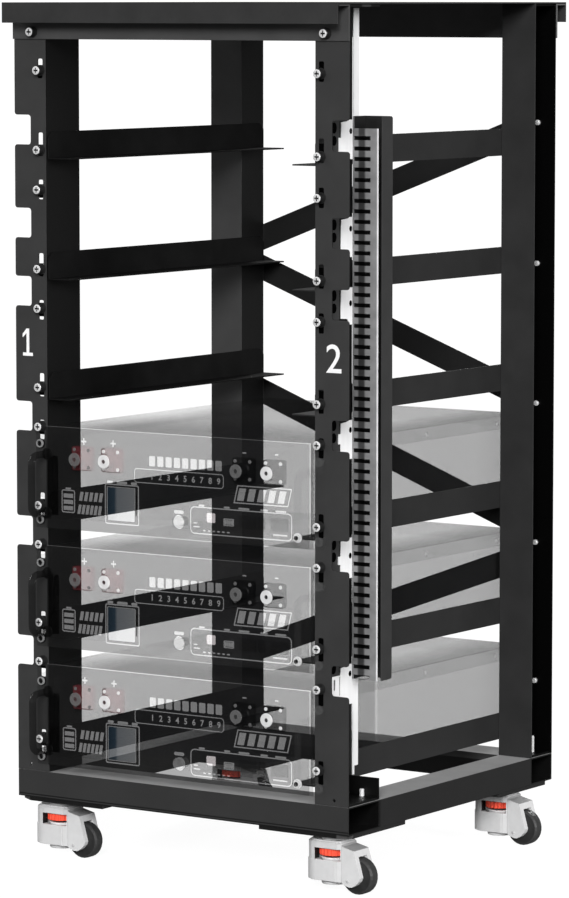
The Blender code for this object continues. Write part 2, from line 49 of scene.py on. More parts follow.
# ---------------------------------------------------------------- dimensions shared with the construction (mm)
HALF_W, OPEN_W = 277.4, 223.4
REAR_Y0, REAR_Y1 = 473.0, 530.4
BASE_Z0, BASE_Z1 = 85.0, 123.0
TOP_Z = 1194.3
HOLE_X = 232.55
LEDGE_TOP, LEVEL_PITCH = 980.7, 166.6
SCREW_TOP, SCREW_PITCH, SCREW_DROP = 1101.0, 164.2, 109.47
FLANGE_HOLE_Z, FLANGE_HOLE_PITCH = 1024.7, 199.6
CASTER_X, CASTER_YF, CASTER_YR, TRAIL = 230.0, 38.0, 466.0, 41.0
PANEL_Y0, PANEL_Y1 = -2.8, -0.3
CASE_HALF_W, CASE_Y0, CASE_Y1, CASE_H = 216.5, 2.4, 525.0, 127.8
BUTTON_X, BUTTON_Z, BUTTON_R = 2.2, 9.5, 8.9
TERMINALS = (-157.0, -107.0, 113.0, 163.0)
TERMINAL_Z = 87.5

# share of light that one surface of each battery piece stops: the batteries are shown see-through
WALL_STOP, PANEL_STOP, CELL_STOP = 0.03, 0.372, 0.004


def P(x, y, z):
    return Vector(((x - X_MID) / 1000, (y - Y_MID) / 1000, z / 1000))


# ---------------------------------------------------------------- materials
def ramp(nodes, links, source, stops):
    made = nodes.new("ShaderNodeValToRGB")
    while len(made.color_ramp.elements) < len(stops):
        made.color_ramp.elements.new(0.5)
    for element, (at, colour) in zip(made.color_ramp.elements, stops):
        element.position = at
        element.color = (*colour, 1.0)
    links.new(source, made.inputs["Fac"])
    return made.outputs["Color"]


def noise(nodes, links, where, scale, detail=3.0, rough=0.55, stretch=None):
    if stretch:
        turn = nodes.new("ShaderNodeMapping")
        turn.inputs["Scale"].default_value = stretch
        links.new(where, turn.inputs["Vector"])
        where = turn.outputs["Vector"]
    made = nodes.new("ShaderNodeTexNoise")
    made.inputs["Scale"].default_value = scale
    made.inputs["Detail"].default_value = detail
    made.inputs["Roughness"].default_value = rough
    links.new(where, made.inputs["Vector"])
    return made.outputs["Fac"]


def spread(nodes, links, source, low, high, lo=0.3, hi=0.7):
    made = nodes.new("ShaderNodeMapRange")
    made.inputs["From Min"].default_value = lo
    made.inputs["From Max"].default_value = hi
    made.inputs["To Min"].default_value = low
    made.inputs["To Max"].default_value = high
    links.new(source, made.inputs["Value"])
    return made.outputs["Result"]


def finish(
    name,
    dark,
    light,
    rough,
    metallic=0.0,
    specular=0.5,
    alpha=1.0,
    coat=0.0,
    mottle=22.0,
    grain=700.0,
    bump=0.15,
    height=0.0002,
    stretch=None,
    emission=None,
):
    """A surface whose colour drifts between two tones, with fine grain in its roughness and its relief."""
    made = bpy.data.materials.new(name)
    made.use_nodes = True
    tree = made.node_tree
    nodes, links = tree.nodes, tree.links
    shader = nodes["Principled BSDF"]
    where = nodes.new("ShaderNodeTexCoord").outputs["Object"]
    patch = noise(nodes, links, where, mottle, 4.0, 0.6, stretch)
    links.new(ramp(nodes, links, patch, [(0.3, dark), (0.7, light)]), shader.inputs["Base Color"])
    fine = noise(nodes, links, where, grain, 2.0, 0.5, stretch)
    links.new(spread(nodes, links, fine, rough[0], rough[1]), shader.inputs["Roughness"])
    if bump:
        relief = nodes.new("ShaderNodeBump")
        relief.inputs["Strength"].default_value = bump
        relief.inputs["Distance"].default_value = height
        links.new(fine, relief.inputs["Height"])
        links.new(relief.outputs["Normal"], shader.inputs["Normal"])
    shader.inputs["Metallic"].default_value = metallic
    shader.inputs["Specular IOR Level"].default_value = specular
    shader.inputs["Alpha"].default_value = alpha
    if coat:
        shader.inputs["Coat Weight"].default_value = coat
        shader.inputs["Coat Roughness"].default_value = 0.2
    if emission:
        shader.inputs["Emission Color"].default_value = (*emission[0], 1.0)
        shader.inputs["Emission Strength"].default_value = emission[1]
    if alpha < 1.0:
        made.surface_render_method = "BLENDED"
    return made


def grey(v):
    return (v, v, v * 1.005)


def calc(made, operation, one, two):
    """One sum on two values or sockets."""
    step = made.node_tree.nodes.new("ShaderNodeMath")
    step.operation = operation
    for socket, value in zip(step.inputs, (one, two)):
        if isinstance(value, (int, float)):
            socket.default_value = value
        else:
            made.node_tree.links.new(value, socket)
    return step.outputs["Value"]


def places(made):
    """The rack's own x, y and z at the surface, in metres from the frame's origin."""
    nodes, links = made.node_tree.nodes, made.node_tree.links
    split = nodes.new("ShaderNodeSeparateXYZ")
    links.new(nodes["Texture Coordinate"].outputs["Object"], split.inputs["Vector"])
    return split.outputs


def metres(axis, mm):
    return (mm - {"X": X_MID, "Y": Y_MID, "Z": 0.0}[axis]) / 1000


def shaded(made, regions):
    """Paint shade into a finish: darken it inside regions of rack millimetres, each region keeping its given share of
    the colour.
    """
    nodes, links = made.node_tree.nodes, made.node_tree.links
    shader = nodes["Principled BSDF"]
    where = places(made)
    for spans, keep in regions:
        mask = None
        for axis, (low, high) in spans.items():
            inside = calc(
                made, "MULTIPLY",
                calc(made, "GREATER_THAN", where[axis], metres(axis, low)),
                calc(made, "LESS_THAN", where[axis], metres(axis, high)),
            )
            mask = inside if mask is None else calc(made, "MULTIPLY", mask, inside)
        deep = nodes.new("ShaderNodeMix")
        deep.data_type = "RGBA"
        links.new(calc(made, "MULTIPLY", mask, 1.0 - keep), deep.inputs["Factor"])
        links.new(shader.inputs["Base Color"].links[0].from_socket, deep.inputs["A"])
        deep.inputs["B"].default_value = (0.0, 0.0, 0.0, 1.0)
        links.new(deep.outputs["Result"], shader.inputs["Base Color"])
    return made


FAR = 5000.0
SHELVES = [LEDGE_TOP - LEVEL_PITCH * level for level in (3, 4, 5)]
# One powder coat throughout: the black finishes below differ in tone part by part as painted light and shade. The top
# cover's top face is darkened as painted shade.
FRAME_BLACK = shaded(
    finish("powder_black", grey(0.027), grey(0.035), (0.6, 0.74), specular=0.02),
    [({"Z": (1193.7, FAR)}, 0.35)],
)
# Painted light: the front beam gets a lighter tone than the cover to offset the cover's shadow on it.
BEAM_BLACK = finish("powder_black_beam", grey(0.040), grey(0.050), (0.4, 0.52), specular=0.35)
# Painted light and shade on the base: its top face gets a light tone and its front and sides keep a small share of it,
# the right face less still; the insides and open ends of the front and rear tubes are painted black as shade; two thin
# darker bands run along the lower front edge.
BASE_BLACK = shaded(
    finish("powder_black_base", grey(0.32), grey(0.38), (0.4, 0.52), specular=0.35),
    [
        ({"Z": (0.0, 122.96)}, 0.064),
        ({"X": (276.6, FAR)}, 0.46),
        ({"Y": (1.0, 79.0), "Z": (86.0, 122.4)}, 0.0),
        ({"Y": (473.0, 529.4), "Z": (86.0, 122.4)}, 0.0),
        ({"Y": (-1.0, 1.0), "Z": (88.2, 90.0)}, 0.1),
        ({"Y": (-1.0, 1.0), "Z": (80.0, 86.6)}, 0.1),
    ],
)
# Painted shade: the flange's edges and the web's inner face are darkened.
POST_FL_BLACK = shaded(
    finish("powder_black_front_left", grey(0.025), grey(0.031), (0.4, 0.52), specular=0.3),
    [({"Y": (0.4, 2.6)}, 0.07), ({"X": (-224.6, FAR), "Y": (0.4, FAR)}, 0.07)],
)
# Painted shade: the web behind the flange is darkened except the band lit through the notches, and so is the post's
# foot above the base.
POST_FR_BLACK = shaded(
    finish("powder_black_front_right", grey(0.025), grey(0.031), (0.4, 0.52), specular=0.3),
    [
        ({"Y": (55.0, FAR)}, 0.03),
        ({"Y": (0.4, 33.0)}, 0.03),
        ({"Y": (2.2, FAR), "Z": (100.0, 129.0)}, 0.03),
    ],
)
# Painted shade: the inside of the channel is darkened.
POST_RL_BLACK = shaded(
    finish("powder_black_rear_left", grey(0.030), grey(0.038), (0.4, 0.52), specular=0.25),
    [({"Y": (474.0, 529.6)}, 0.1)],
)
# Painted shade: the inside of the channel is painted black.
POST_RR_BLACK = shaded(
    finish("powder_black_rear_right", grey(0.020), grey(0.026), (0.4, 0.52), specular=0.12),
    [({"Y": (475.0, 529.6)}, 0.0)],
)
# Painted light: a much lighter tone stands in for light that the rear beam, in the cover's shadow, does not get.
REAR_BEAM_BLACK = finish("powder_black_rear_beam", grey(0.085), grey(0.105), (0.42, 0.54), specular=0.1)
# Painted light and shade: the right rails get a lit tone, the left rails a much darker copy as painted shade, and the
# braces a darker copy as painted shade too.
RAIL_BLACK = finish("powder_black_rail", grey(0.0125), grey(0.0165), (0.42, 0.54), specular=0.35)
RAIL_SHADE_BLACK = finish("powder_black_rail_painted_shade", grey(0.0045), grey(0.007), (0.42, 0.54), specular=0.06)
BRACE_BLACK = finish("powder_black_brace", grey(0.007), grey(0.010), (0.42, 0.54), specular=0.25)
ZINC = finish("zinc_strip", grey(0.80), grey(0.89), (0.34, 0.5), metallic=0.1, mottle=60.0, grain=300.0, bump=0.08, stretch=(1, 1, 0.15))
BRIGHT = finish("zinc_screw", grey(0.58), grey(0.70), (0.25, 0.4), metallic=0.25, mottle=120.0, grain=900.0, bump=0.06)
# Painted shade: near-black for the screws' shanks and washers and for the casters' cheeks and necks, which lie in
# shade.
SHADE_BLACK = finish("painted_shade_black", grey(0.006), grey(0.012), (0.4, 0.6), specular=0.25, mottle=200.0)
# Painted shade: near-black for the plates behind the post screws and for the patches in the bracket's holes and the
# web's tie slots.
HOLE_SHADE = finish("painted_hole_shade", grey(0.0008), grey(0.002), (0.6, 0.8), specular=0.0, mottle=200.0)
# Painted light and shade on the caster housings: everything below z 70.3 is darkened, so the cap above it stays light
# where the base shades it; the facet turned towards the key light and the top of the wheel hood are darkened too.
CASTER_LIGHT_AND_SHADE = [({"Z": (-10.0, 70.3)}, 0.675)]
for x in (-CASTER_X, CASTER_X):
    for y in (CASTER_YF, CASTER_YR):
        CASTER_LIGHT_AND_SHADE.append(({"X": (x + 17.8, x + 24.3), "Y": (y - 22.3, y - 17.9)}, 0.8))
        CASTER_LIGHT_AND_SHADE.append(({"X": (x + 16.0, x + 43.5), "Y": (y - 18.2, y + 18.2), "Z": (60.5, 68.0)}, 0.55))
CASTING = shaded(finish("caster_paint", grey(0.78), grey(0.85), (0.36, 0.5), mottle=70.0, grain=1400.0, bump=0.2, height=0.00012), CASTER_LIGHT_AND_SHADE)
CASTING_DEEP = finish("caster_rivet", grey(0.38), grey(0.44), (0.36, 0.5), mottle=70.0, grain=1400.0, bump=0.2, height=0.00012)
TREAD = finish("wheel_nylon", grey(0.026), grey(0.038), (0.4, 0.58), specular=0.3, mottle=90.0, grain=900.0, bump=0.2)
HUB = finish("wheel_hub", grey(0.014), grey(0.022), (0.45, 0.6), specular=0.2, mottle=120.0)
DIAL_RED = finish("dial_red", (0.80, 0.07, 0.035), (0.92, 0.10, 0.05), (0.26, 0.4), mottle=140.0, grain=1200.0, bump=0.1, coat=0.2)
PAINT_WHITE = finish("mark_white", grey(0.74), grey(0.82), (0.45, 0.6), mottle=150.0, grain=1500.0, bump=0.1)
# Painted shade: at the top end, the cover's parts left of its face are painted near-black.
DUCT_DARK = shaded(
    finish("duct_cover_plastic", grey(0.024), grey(0.030), (0.42, 0.55), specular=0.3, mottle=30.0, grain=1100.0, bump=0.2),
    [({"X": (200.0, 267.5), "Z": (1020.0, FAR)}, 0.03)],
)


def panel_material():
    """The front panel: faint where its ears lie over the posts, with a painted shadow of the left handle beside it."""
    made = finish("see_through_panel", grey(0.012), grey(0.016), (0.4, 0.52), specular=0.0, alpha=0.5)
    nodes, links = made.node_tree.nodes, made.node_tree.links
    where = places(made)
    middle = calc(made, "LESS_THAN", where["X"], metres("X", 216.3))
    margin = calc(made, "LESS_THAN", where["X"], metres("X", 222.8))
    ear = calc(made, "LESS_THAN", where["X"], metres("X", -223.6))
    stop = calc(made, "ADD", calc(made, "MULTIPLY", middle, PANEL_STOP - 0.21), calc(made, "MULTIPLY", margin, 0.2))
    stop = calc(made, "SUBTRACT", stop, calc(made, "MULTIPLY", ear, PANEL_STOP - 0.12))
    links.new(calc(made, "ADD", stop, 0.01), nodes["Principled BSDF"].inputs["Alpha"])
    # painted shadow of the left handle on the panel
    return shaded(made, [({"X": (-224.0, -203.0), "Z": (shelf + 5.0, shelf + 88.0)}, 0.1) for shelf in SHELVES])


GHOST_PANEL = panel_material()
GHOST_HANDLE = finish("see_through_handle", grey(0.003), grey(0.004), (0.3, 0.42), specular=0.1, alpha=0.45)
GHOST_GRIP = finish("see_through_grip", grey(0.05), grey(0.08), (0.3, 0.42), specular=0.1, alpha=0.04)
GHOST_CELLS = finish("see_through_cells", (0.10, 0.15, 0.28), (0.14, 0.20, 0.34), (0.4, 0.55), specular=0.0, alpha=CELL_STOP)
GHOST_PRINT = finish("see_through_print", grey(0.40), grey(0.45), (0.5, 0.6), specular=0.0, alpha=0.18, mottle=150.0)
GHOST_DIGIT = finish("see_through_digit", grey(0.39), grey(0.43), (0.5, 0.6), specular=0.0, alpha=0.225, mottle=150.0)
# Painted highlight: a faint light finish for the strip along each panel's top edge.
GHOST_EDGE_HIGHLIGHT = finish("see_through_edge_highlight", grey(0.85), grey(0.92), (0.4, 0.5), specular=0.0, alpha=0.04, mottle=150.0)
GHOST_RED = finish("see_through_red", (0.095, 0.018, 0.022), (0.115, 0.022, 0.026), (0.34, 0.46), specular=0.1, alpha=0.40, mottle=120.0)
GHOST_LAMP = finish("see_through_lamp", (0.80, 0.74, 0.75), (0.84, 0.78, 0.79), (0.34, 0.46), specular=0.1, alpha=0.22, mottle=120.0)
GHOST_BLACK = finish("see_through_black", grey(0.003), grey(0.004), (0.36, 0.48), specular=0.1, alpha=0.48, mottle=120.0)
GHOST_SOCKET = finish("see_through_socket", grey(0.003), grey(0.004), (0.36, 0.48), specular=0.1, alpha=0.1, mottle=120.0)
GHOST_CAP = finish("see_through_cap", grey(0.78), grey(0.84), (0.3, 0.42), specular=0.1, alpha=0.5, mottle=120.0)
# Painted shade: a dark copy of the terminal cap finish for the caps and screws taken as shaded.
GHOST_CAP_SHADE = finish("see_through_cap_shade", grey(0.12), grey(0.15), (0.3, 0.42), specular=0.1, alpha=0.45, mottle=120.0)
GHOST_BUTTON = finish("see_through_button", grey(0.28), grey(0.33), (0.3, 0.42), specular=0.1, alpha=0.19, mottle=120.0)
GHOST_GREY = finish("see_through_grey", grey(0.05), grey(0.08), (0.3, 0.42), specular=0.1, alpha=0.25, mottle=120.0)
GHOST_STEEL = finish("see_through_steel", grey(0.34), grey(0.42), (0.3, 0.4), specular=0.2, alpha=0.33, mottle=120.0)
GHOST_FAINT = finish("see_through_faint", grey(0.34), grey(0.42), (0.3, 0.4), specular=0.0, alpha=0.02, mottle=120.0)


def case_material():
    """The tray: its outer right wall is dense, its density varying along its length as painted light and shade, with a
    lighter upright band as a painted highlight; the other walls are faint.
    """
    made = finish("see_through_case", grey(0.012), grey(0.016), (0.4, 0.52), specular=0.0, alpha=0.5)
    nodes, links = made.node_tree.nodes, made.node_tree.links
    where = places(made)
    along = spread(nodes, links, where["Y"], 0.0, 1.0, metres("Y", 0.0), metres("Y", CASE_Y1))
    # painted light and shade along the right wall, with a painted highlight as the lighter band near y 160
    stops = ((0, 0.43), (158, 0.43), (162, 0.25), (168, 0.36), (420, 0.37), (480, 0.41), (510, 0.35), (525, 0.30))
    wall = ramp(nodes, links, along, [(y / CASE_Y1, (a, a, a)) for y, a in stops])
    right = calc(made, "GREATER_THAN", where["X"], metres("X", CASE_HALF_W - 1.7))
    dense = calc(made, "MULTIPLY", right, calc(made, "SUBTRACT", wall, WALL_STOP))
    links.new(calc(made, "ADD", dense, WALL_STOP), nodes["Principled BSDF"].inputs["Alpha"])
    return made


def lid_material(number, top, bound=None):
    """The lid: its top is denser to the front and the right and thins out at the left edge, as painted shade and
    painted light; it fades behind a bound; its skirt is faint.
    """
    made = finish(f"see_through_lid_{number}", grey(0.012), grey(0.016), (0.4, 0.52), specular=0.0, alpha=0.5)
    nodes, links = made.node_tree.nodes, made.node_tree.links
    where = places(made)
    # painted shade and light: density rises towards the front and the right and falls at the left edge
    front = spread(nodes, links, where["Y"], 1.0, 0.0, metres("Y", 60.0), metres("Y", 240.0))
    right = spread(nodes, links, where["X"], 0.0, 1.0, metres("X", 130.0), metres("X", 205.0))
    left = spread(nodes, links, where["X"], 1.0, 0.0, metres("X", -195.0), metres("X", -120.0))
    dense = calc(made, "ADD", calc(made, "MULTIPLY", calc(made, "MAXIMUM", front, right), 0.148), 0.312)
    dense = calc(made, "SUBTRACT", dense, calc(made, "MULTIPLY", left, 0.2))
    if bound:
        ahead = calc(made, "LESS_THAN", where["Y"], metres("Y", bound[0]))
        beside = calc(made, "GREATER_THAN", where["X"], metres("X", bound[1]))
        dense = calc(made, "MULTIPLY", dense, calc(made, "MAXIMUM", ahead, beside))
        dense = calc(made, "MAXIMUM", dense, 0.01)
    plate = calc(made, "GREATER_THAN", where["Z"], metres("Z", top - 1.5))
    skirt = calc(made, "ADD", calc(made, "MULTIPLY", calc(made, "GREATER_THAN", where["X"], metres("X", CASE_HALF_W + 0.1)), 0.06), WALL_STOP)
    whole = calc(made, "ADD", calc(made, "MULTIPLY", plate, calc(made, "SUBTRACT", dense, skirt)), skirt)
    links.new(whole, nodes["Principled BSDF"].inputs["Alpha"])
    return made


GHOST_CASE = case_material()


def screen_material():
    """The display glass: cool grey, darker and bluer towards its left."""
    made = finish("see_through_screen", grey(0.3), grey(0.34), (0.3, 0.4), specular=0.1, alpha=0.137, bump=0.0)
    nodes, links = made.node_tree.nodes, made.node_tree.links
    split = nodes.new("ShaderNodeSeparateXYZ")
    links.new(nodes["Texture Coordinate"].outputs["Object"], split.inputs["Vector"])
    left = (-122.0 - X_MID) / 1000
    across = spread(nodes, links, split.outputs["X"], 0.0, 1.0, left, left + 0.056)
    tint = ramp(nodes, links, across, [(0.05, (0.02, 0.04, 0.06)), (0.28, (0.04, 0.07, 0.10)), (0.36, (0.24, 0.26, 0.28)), (0.95, (0.32, 0.33, 0.34))])
    links.new(tint, nodes["Principled BSDF"].inputs["Base Color"])
    return made


GHOST_SCREEN = screen_material()


def duct_material():
    """Moulded grey, with a darker upright band of painted shade, a painted highlight along the outer rim and painted
    shade inside.
    """
    made = finish("duct_plastic", grey(0.3), grey(0.34), (0.45, 0.6), mottle=40.0, grain=900.0, bump=0.25)
    nodes, links = made.node_tree.nodes, made.node_tree.links
    where = nodes["Texture Coordinate"].outputs["Object"]
    split = nodes.new("ShaderNodeSeparateXYZ")
    links.new(where, split.inputs["Vector"])
    x0, x1 = (227.5 - X_MID) / 1000, (268.1 - X_MID) / 1000
    y0, y1 = (84.0 - Y_MID) / 1000, (113.8 - Y_MID) / 1000
    across = spread(nodes, links, split.outputs["X"], 0.0, 1.0, x0, x1)
    inward = spread(nodes, links, split.outputs["Y"], 0.0, 1.0, y0, y1)
    # painted shade as a darker upright band across the front wall, and a painted highlight along its outer rim
    shade_band_and_rim_highlight = ramp(
        nodes, links, across,
        [(0.0, grey(0.22)), (0.2, grey(0.20)), (0.26, grey(0.028)), (0.45, grey(0.024)), (0.53, grey(0.20)), (0.95, grey(0.24)), (0.965, grey(0.8)), (1.0, grey(0.85))],
    )
    # painted shade inside the duct
    inside_shade = ramp(nodes, links, inward, [(0.03, grey(1.0)), (0.04, grey(0.02)), (0.975, grey(0.02)), (0.985, grey(1.0))])
    speckle = ramp(nodes, links, noise(nodes, links, where, 60.0, 3.0), [(0.3, grey(0.74)), (0.7, grey(1.0))])

    def times(one, two):
        blend = nodes.new("ShaderNodeMix")
        blend.data_type = "RGBA"
        blend.blend_type = "MULTIPLY"
        blend.inputs["Factor"].default_value = 1.0
        links.new(one, blend.inputs["A"])
        links.new(two, blend.inputs["B"])
        return blend.outputs["Result"]

    links.new(times(times(shade_band_and_rim_highlight, inside_shade), speckle), nodes["Principled BSDF"].inputs["Base Color"])
    return made


DUCT_GREY = duct_material()


# ---------------------------------------------------------------- shapes, as bmesh in rack millimetres
def at(axis, a, b, c):
    return {"X": (c, a, b), "Y": (a, c, b), "Z": (a, b, c)}[axis]


def prism(axis, outline, low, high, holes=()):
    shape = bmesh.new()
    loops = [list(outline)] + [list(hole) for hole in holes]
    flat = [point for loop in loops for point in loop]
    lower = [shape.verts.new(at(axis, a, b, low)) for a, b in flat]
    upper = [shape.verts.new(at(axis, a, b, high)) for a, b in flat]
    if holes or len(outline) > 4:
        for tri in tessellate_polygon([[Vector((a, b, 0)) for a, b in loop] for loop in loops]):
            shape.faces.new([lower[i] for i in tri])
            shape.faces.new([upper[i] for i in reversed(tri)])
    else:
        shape.faces.new(lower)
        shape.faces.new(list(reversed(upper)))
    start = 0
    for loop in loops:
        n = len(loop)
        for i in range(n):
            j = (i + 1) % n
            shape.faces.new((lower[start + i], lower[start + j], upper[start + j], upper[start + i]))
        start += n
    bmesh.ops.recalc_face_normals(shape, faces=shape.faces)
    return shape


def rect(a0, b0, a1, b1):
    return [(a0, b0), (a1, b0), (a1, b1), (a0, b1)]


def box(x0, y0, z0, x1, y1, z1):
    return prism("Z", rect(x0, y0, x1, y1), z0, z1)


def arc(ca, cb, radius, first, last, steps):
    return [
        (
            ca + radius * math.cos(math.radians(first + (last - first) * i / steps)),
            cb + radius * math.sin(math.radians(first + (last - first) * i / steps)),
        )
        for i in range(steps + 1)
    ]


def rounded(a0, b0, a1, b1, r, steps=4):
    r = min(r, (a1 - a0) / 2 - 1e-4, (b1 - b0) / 2 - 1e-4)
    return (
        arc(a1 - r, b1 - r, r, 0, 90, steps)
        + arc(a0 + r, b1 - r, r, 90, 180, steps)
        + arc(a0 + r, b0 + r, r, 180, 270, steps)
        + arc(a1 - r, b0 + r, r, 270, 360, steps)
    )


def circle(ca, cb, radius, n, phase=0.0):
    return [
        (ca + radius * math.cos(2 * math.pi * (i + phase) / n), cb + radius * math.sin(2 * math.pi * (i + phase) / n))
        for i in range(n)
    ]


def slot(ca, cb, width, length, steps=6):
    r, h = width / 2, (length - width) / 2
    return arc(ca, cb + h, r, 0, 180, steps) + arc(ca, cb - h, r, 180, 360, steps)


def turned(point, axis, profile, n, phase=0.0):
    """A closed turned solid from a profile of (radius, along)."""
    shape = bmesh.new()
    rings = []
    for radius, along in profile:
        spots = [(0.0, 0.0)] if radius < 1e-6 else circle(0, 0, radius, n, phase)
        rings.append([shape.verts.new([p + o for p, o in zip(point, at(axis, a, b, along))]) for a, b in spots])
    for one, two in zip(rings, rings[1:]):
        for i in range(n):
            j = (i + 1) % n
            if len(one) == 1:
                shape.faces.new((one[0], two[i], two[j]))
            elif len(two) == 1:
                shape.faces.new((one[i], one[j], two[0]))
            else:
                shape.faces.new((one[i], one[j], two[j], two[i]))
    bmesh.ops.recalc_face_normals(shape, faces=shape.faces)
    return shape


def ring(point, axis, inner, outer, low, high, n, chamfer=0.0):
    """A closed flat ring."""
    shape = bmesh.new()
    c = chamfer
    profile = [(inner, low), (outer - c, low), (outer, low + c), (outer, high - c), (outer - c, high), (inner, high)]
    if c == 0:
        profile = [(inner, low), (outer, low), (outer, high), (inner, high)]
    rings = [
        [shape.verts.new([p + o for p, o in zip(point, at(axis, a, b, along))]) for a, b in circle(0, 0, radius, n)]
        for radius, along in profile
    ]
    for one, two in zip(rings, rings[1:] + rings[:1]):
        for i in range(n):
            j = (i + 1) % n
            shape.faces.new((one[i], one[j], two[j], two[i]))
    bmesh.ops.recalc_face_normals(shape, faces=shape.faces)
    return shape


def tube(path, radius, n=12):
    """A round bar along a path of points, with flat ends."""
    shape = bmesh.new()
    points = [Vector(p) for p in path]
    rings = []
    side = None
    for i, p in enumerate(points):
        ahead = (points[min(i + 1, len(points) - 1)] - points[max(i - 1, 0)]).normalized()
        if side is None:
            side = ahead.orthogonal().normalized()
        side = (side - side.dot(ahead) * ahead).normalized()
        other = ahead.cross(side)
        rings.append(
            [shape.verts.new(p + radius * (math.cos(t) * side + math.sin(t) * other)) for t in (2 * math.pi * k / n for k in range(n))]
        )
    for one, two in zip(rings, rings[1:]):
        for i in range(n):
            j = (i + 1) % n
            shape.faces.new((one[i], one[j], two[j], two[i]))
    shape.faces.new(rings[0])
    shape.faces.new(rings[-1])
    bmesh.ops.recalc_face_normals(shape, faces=shape.faces)
    return shape


def together(shapes):
    """Separate closed shapes in one bmesh."""
    whole = bmesh.new()
    for shape in shapes:
        loose = bpy.data.meshes.new("loose")
        shape.to_mesh(loose)
        whole.from_mesh(loose)
        bpy.data.meshes.remove(loose)
        shape.free()
    return whole


def copies(shape, matrices):
    """The shape at each matrix, in one bmesh."""
    whole = bmesh.new()
    loose = bpy.data.meshes.new("loose")
    for m in matrices:
        one = shape.copy()
        bmesh.ops.transform(one, matrix=m, verts=one.verts)
        if m.determinant() < 0:
            bmesh.ops.reverse_faces(one, faces=one.faces)
        one.to_mesh(loose)
        whole.from_mesh(loose)
        one.free()
    bpy.data.meshes.remove(loose)
    shape.free()
    return whole


def carved(base, steps, bevel=0.0, segments=2):
    """The base after (operation, shape) steps, with its edges eased."""
    scene = bpy.context.scene
    made = []

    def loose(shape):
        mesh = bpy.data.meshes.new("carve")
        shape.to_mesh(mesh)
        shape.free()
        thing = bpy.data.objects.new("carve", mesh)
        scene.collection.objects.link(thing)
        made.append(thing)
        return thing

    target = loose(base)
    for operation, shape in steps:
        step = target.modifiers.new("step", "BOOLEAN")
        step.operation, step.solver, step.object = operation, "EXACT", loose(shape)
    if bevel:
        ease = target.modifiers.new("ease", "BEVEL")
        ease.width, ease.segments, ease.limit_method = bevel, segments, "ANGLE"
        ease.angle_limit = math.radians(38)
        ease.use_clamp_overlap = True
    bpy.context.view_layer.update()
    result = bmesh.new()
    done = target.evaluated_get(bpy.context.evaluated_depsgraph_get())
    mesh = done.to_mesh()
    result.from_mesh(mesh)
    done.to_mesh_clear()
    for thing in made:
        mesh = thing.data
        bpy.data.objects.remove(thing)
        bpy.data.meshes.remove(mesh)
    return result


def piece(name, shape, look, body, smooth=35.0, bevel=0.0, replaces=()):
    """A visible piece in the frame's metres, riding on a body."""
    for vertex in shape.verts:
        vertex.co = P(*vertex.co)
    mesh = bpy.data.meshes.new(name)
    shape.to_mesh(mesh)
    shape.free()
    for one in look if isinstance(look, (list, tuple)) else [look]:
        mesh.materials.append(one)
    if smooth:
        mesh.shade_smooth()
        mesh.set_sharp_from_angle(angle=math.radians(smooth))
    made = bpy.data.objects.new(name, mesh)
    bpy.context.scene.collection.objects.link(made)
    if bevel:
        ease = made.modifiers.new("ease", "BEVEL")
        ease.width, ease.segments, ease.limit_method = bevel / 1000, 2, "ANGLE"
        ease.angle_limit = math.radians(35)
        ease.harden_normals = True
    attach(made, body)
    if replaces:
        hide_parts(*replaces)
    return made


def dress(node, look, bevel=0.0):
    """A construction node keeps its shape, with a better finish and eased edges."""
    thing = NODES[node]
    thing.data.materials.clear()
    thing.data.materials.append(look)
    if bevel:
        weld = thing.modifiers.new("weld", "WELD")
        weld.merge_threshold = 0.00001
        ease = thing.modifiers.new("ease", "BEVEL")
        ease.width, ease.segments, ease.limit_method = bevel / 1000, 2, "ANGLE"
        ease.angle_limit = math.radians(40)
        ease.use_clamp_overlap = True
        ease.harden_normals = True


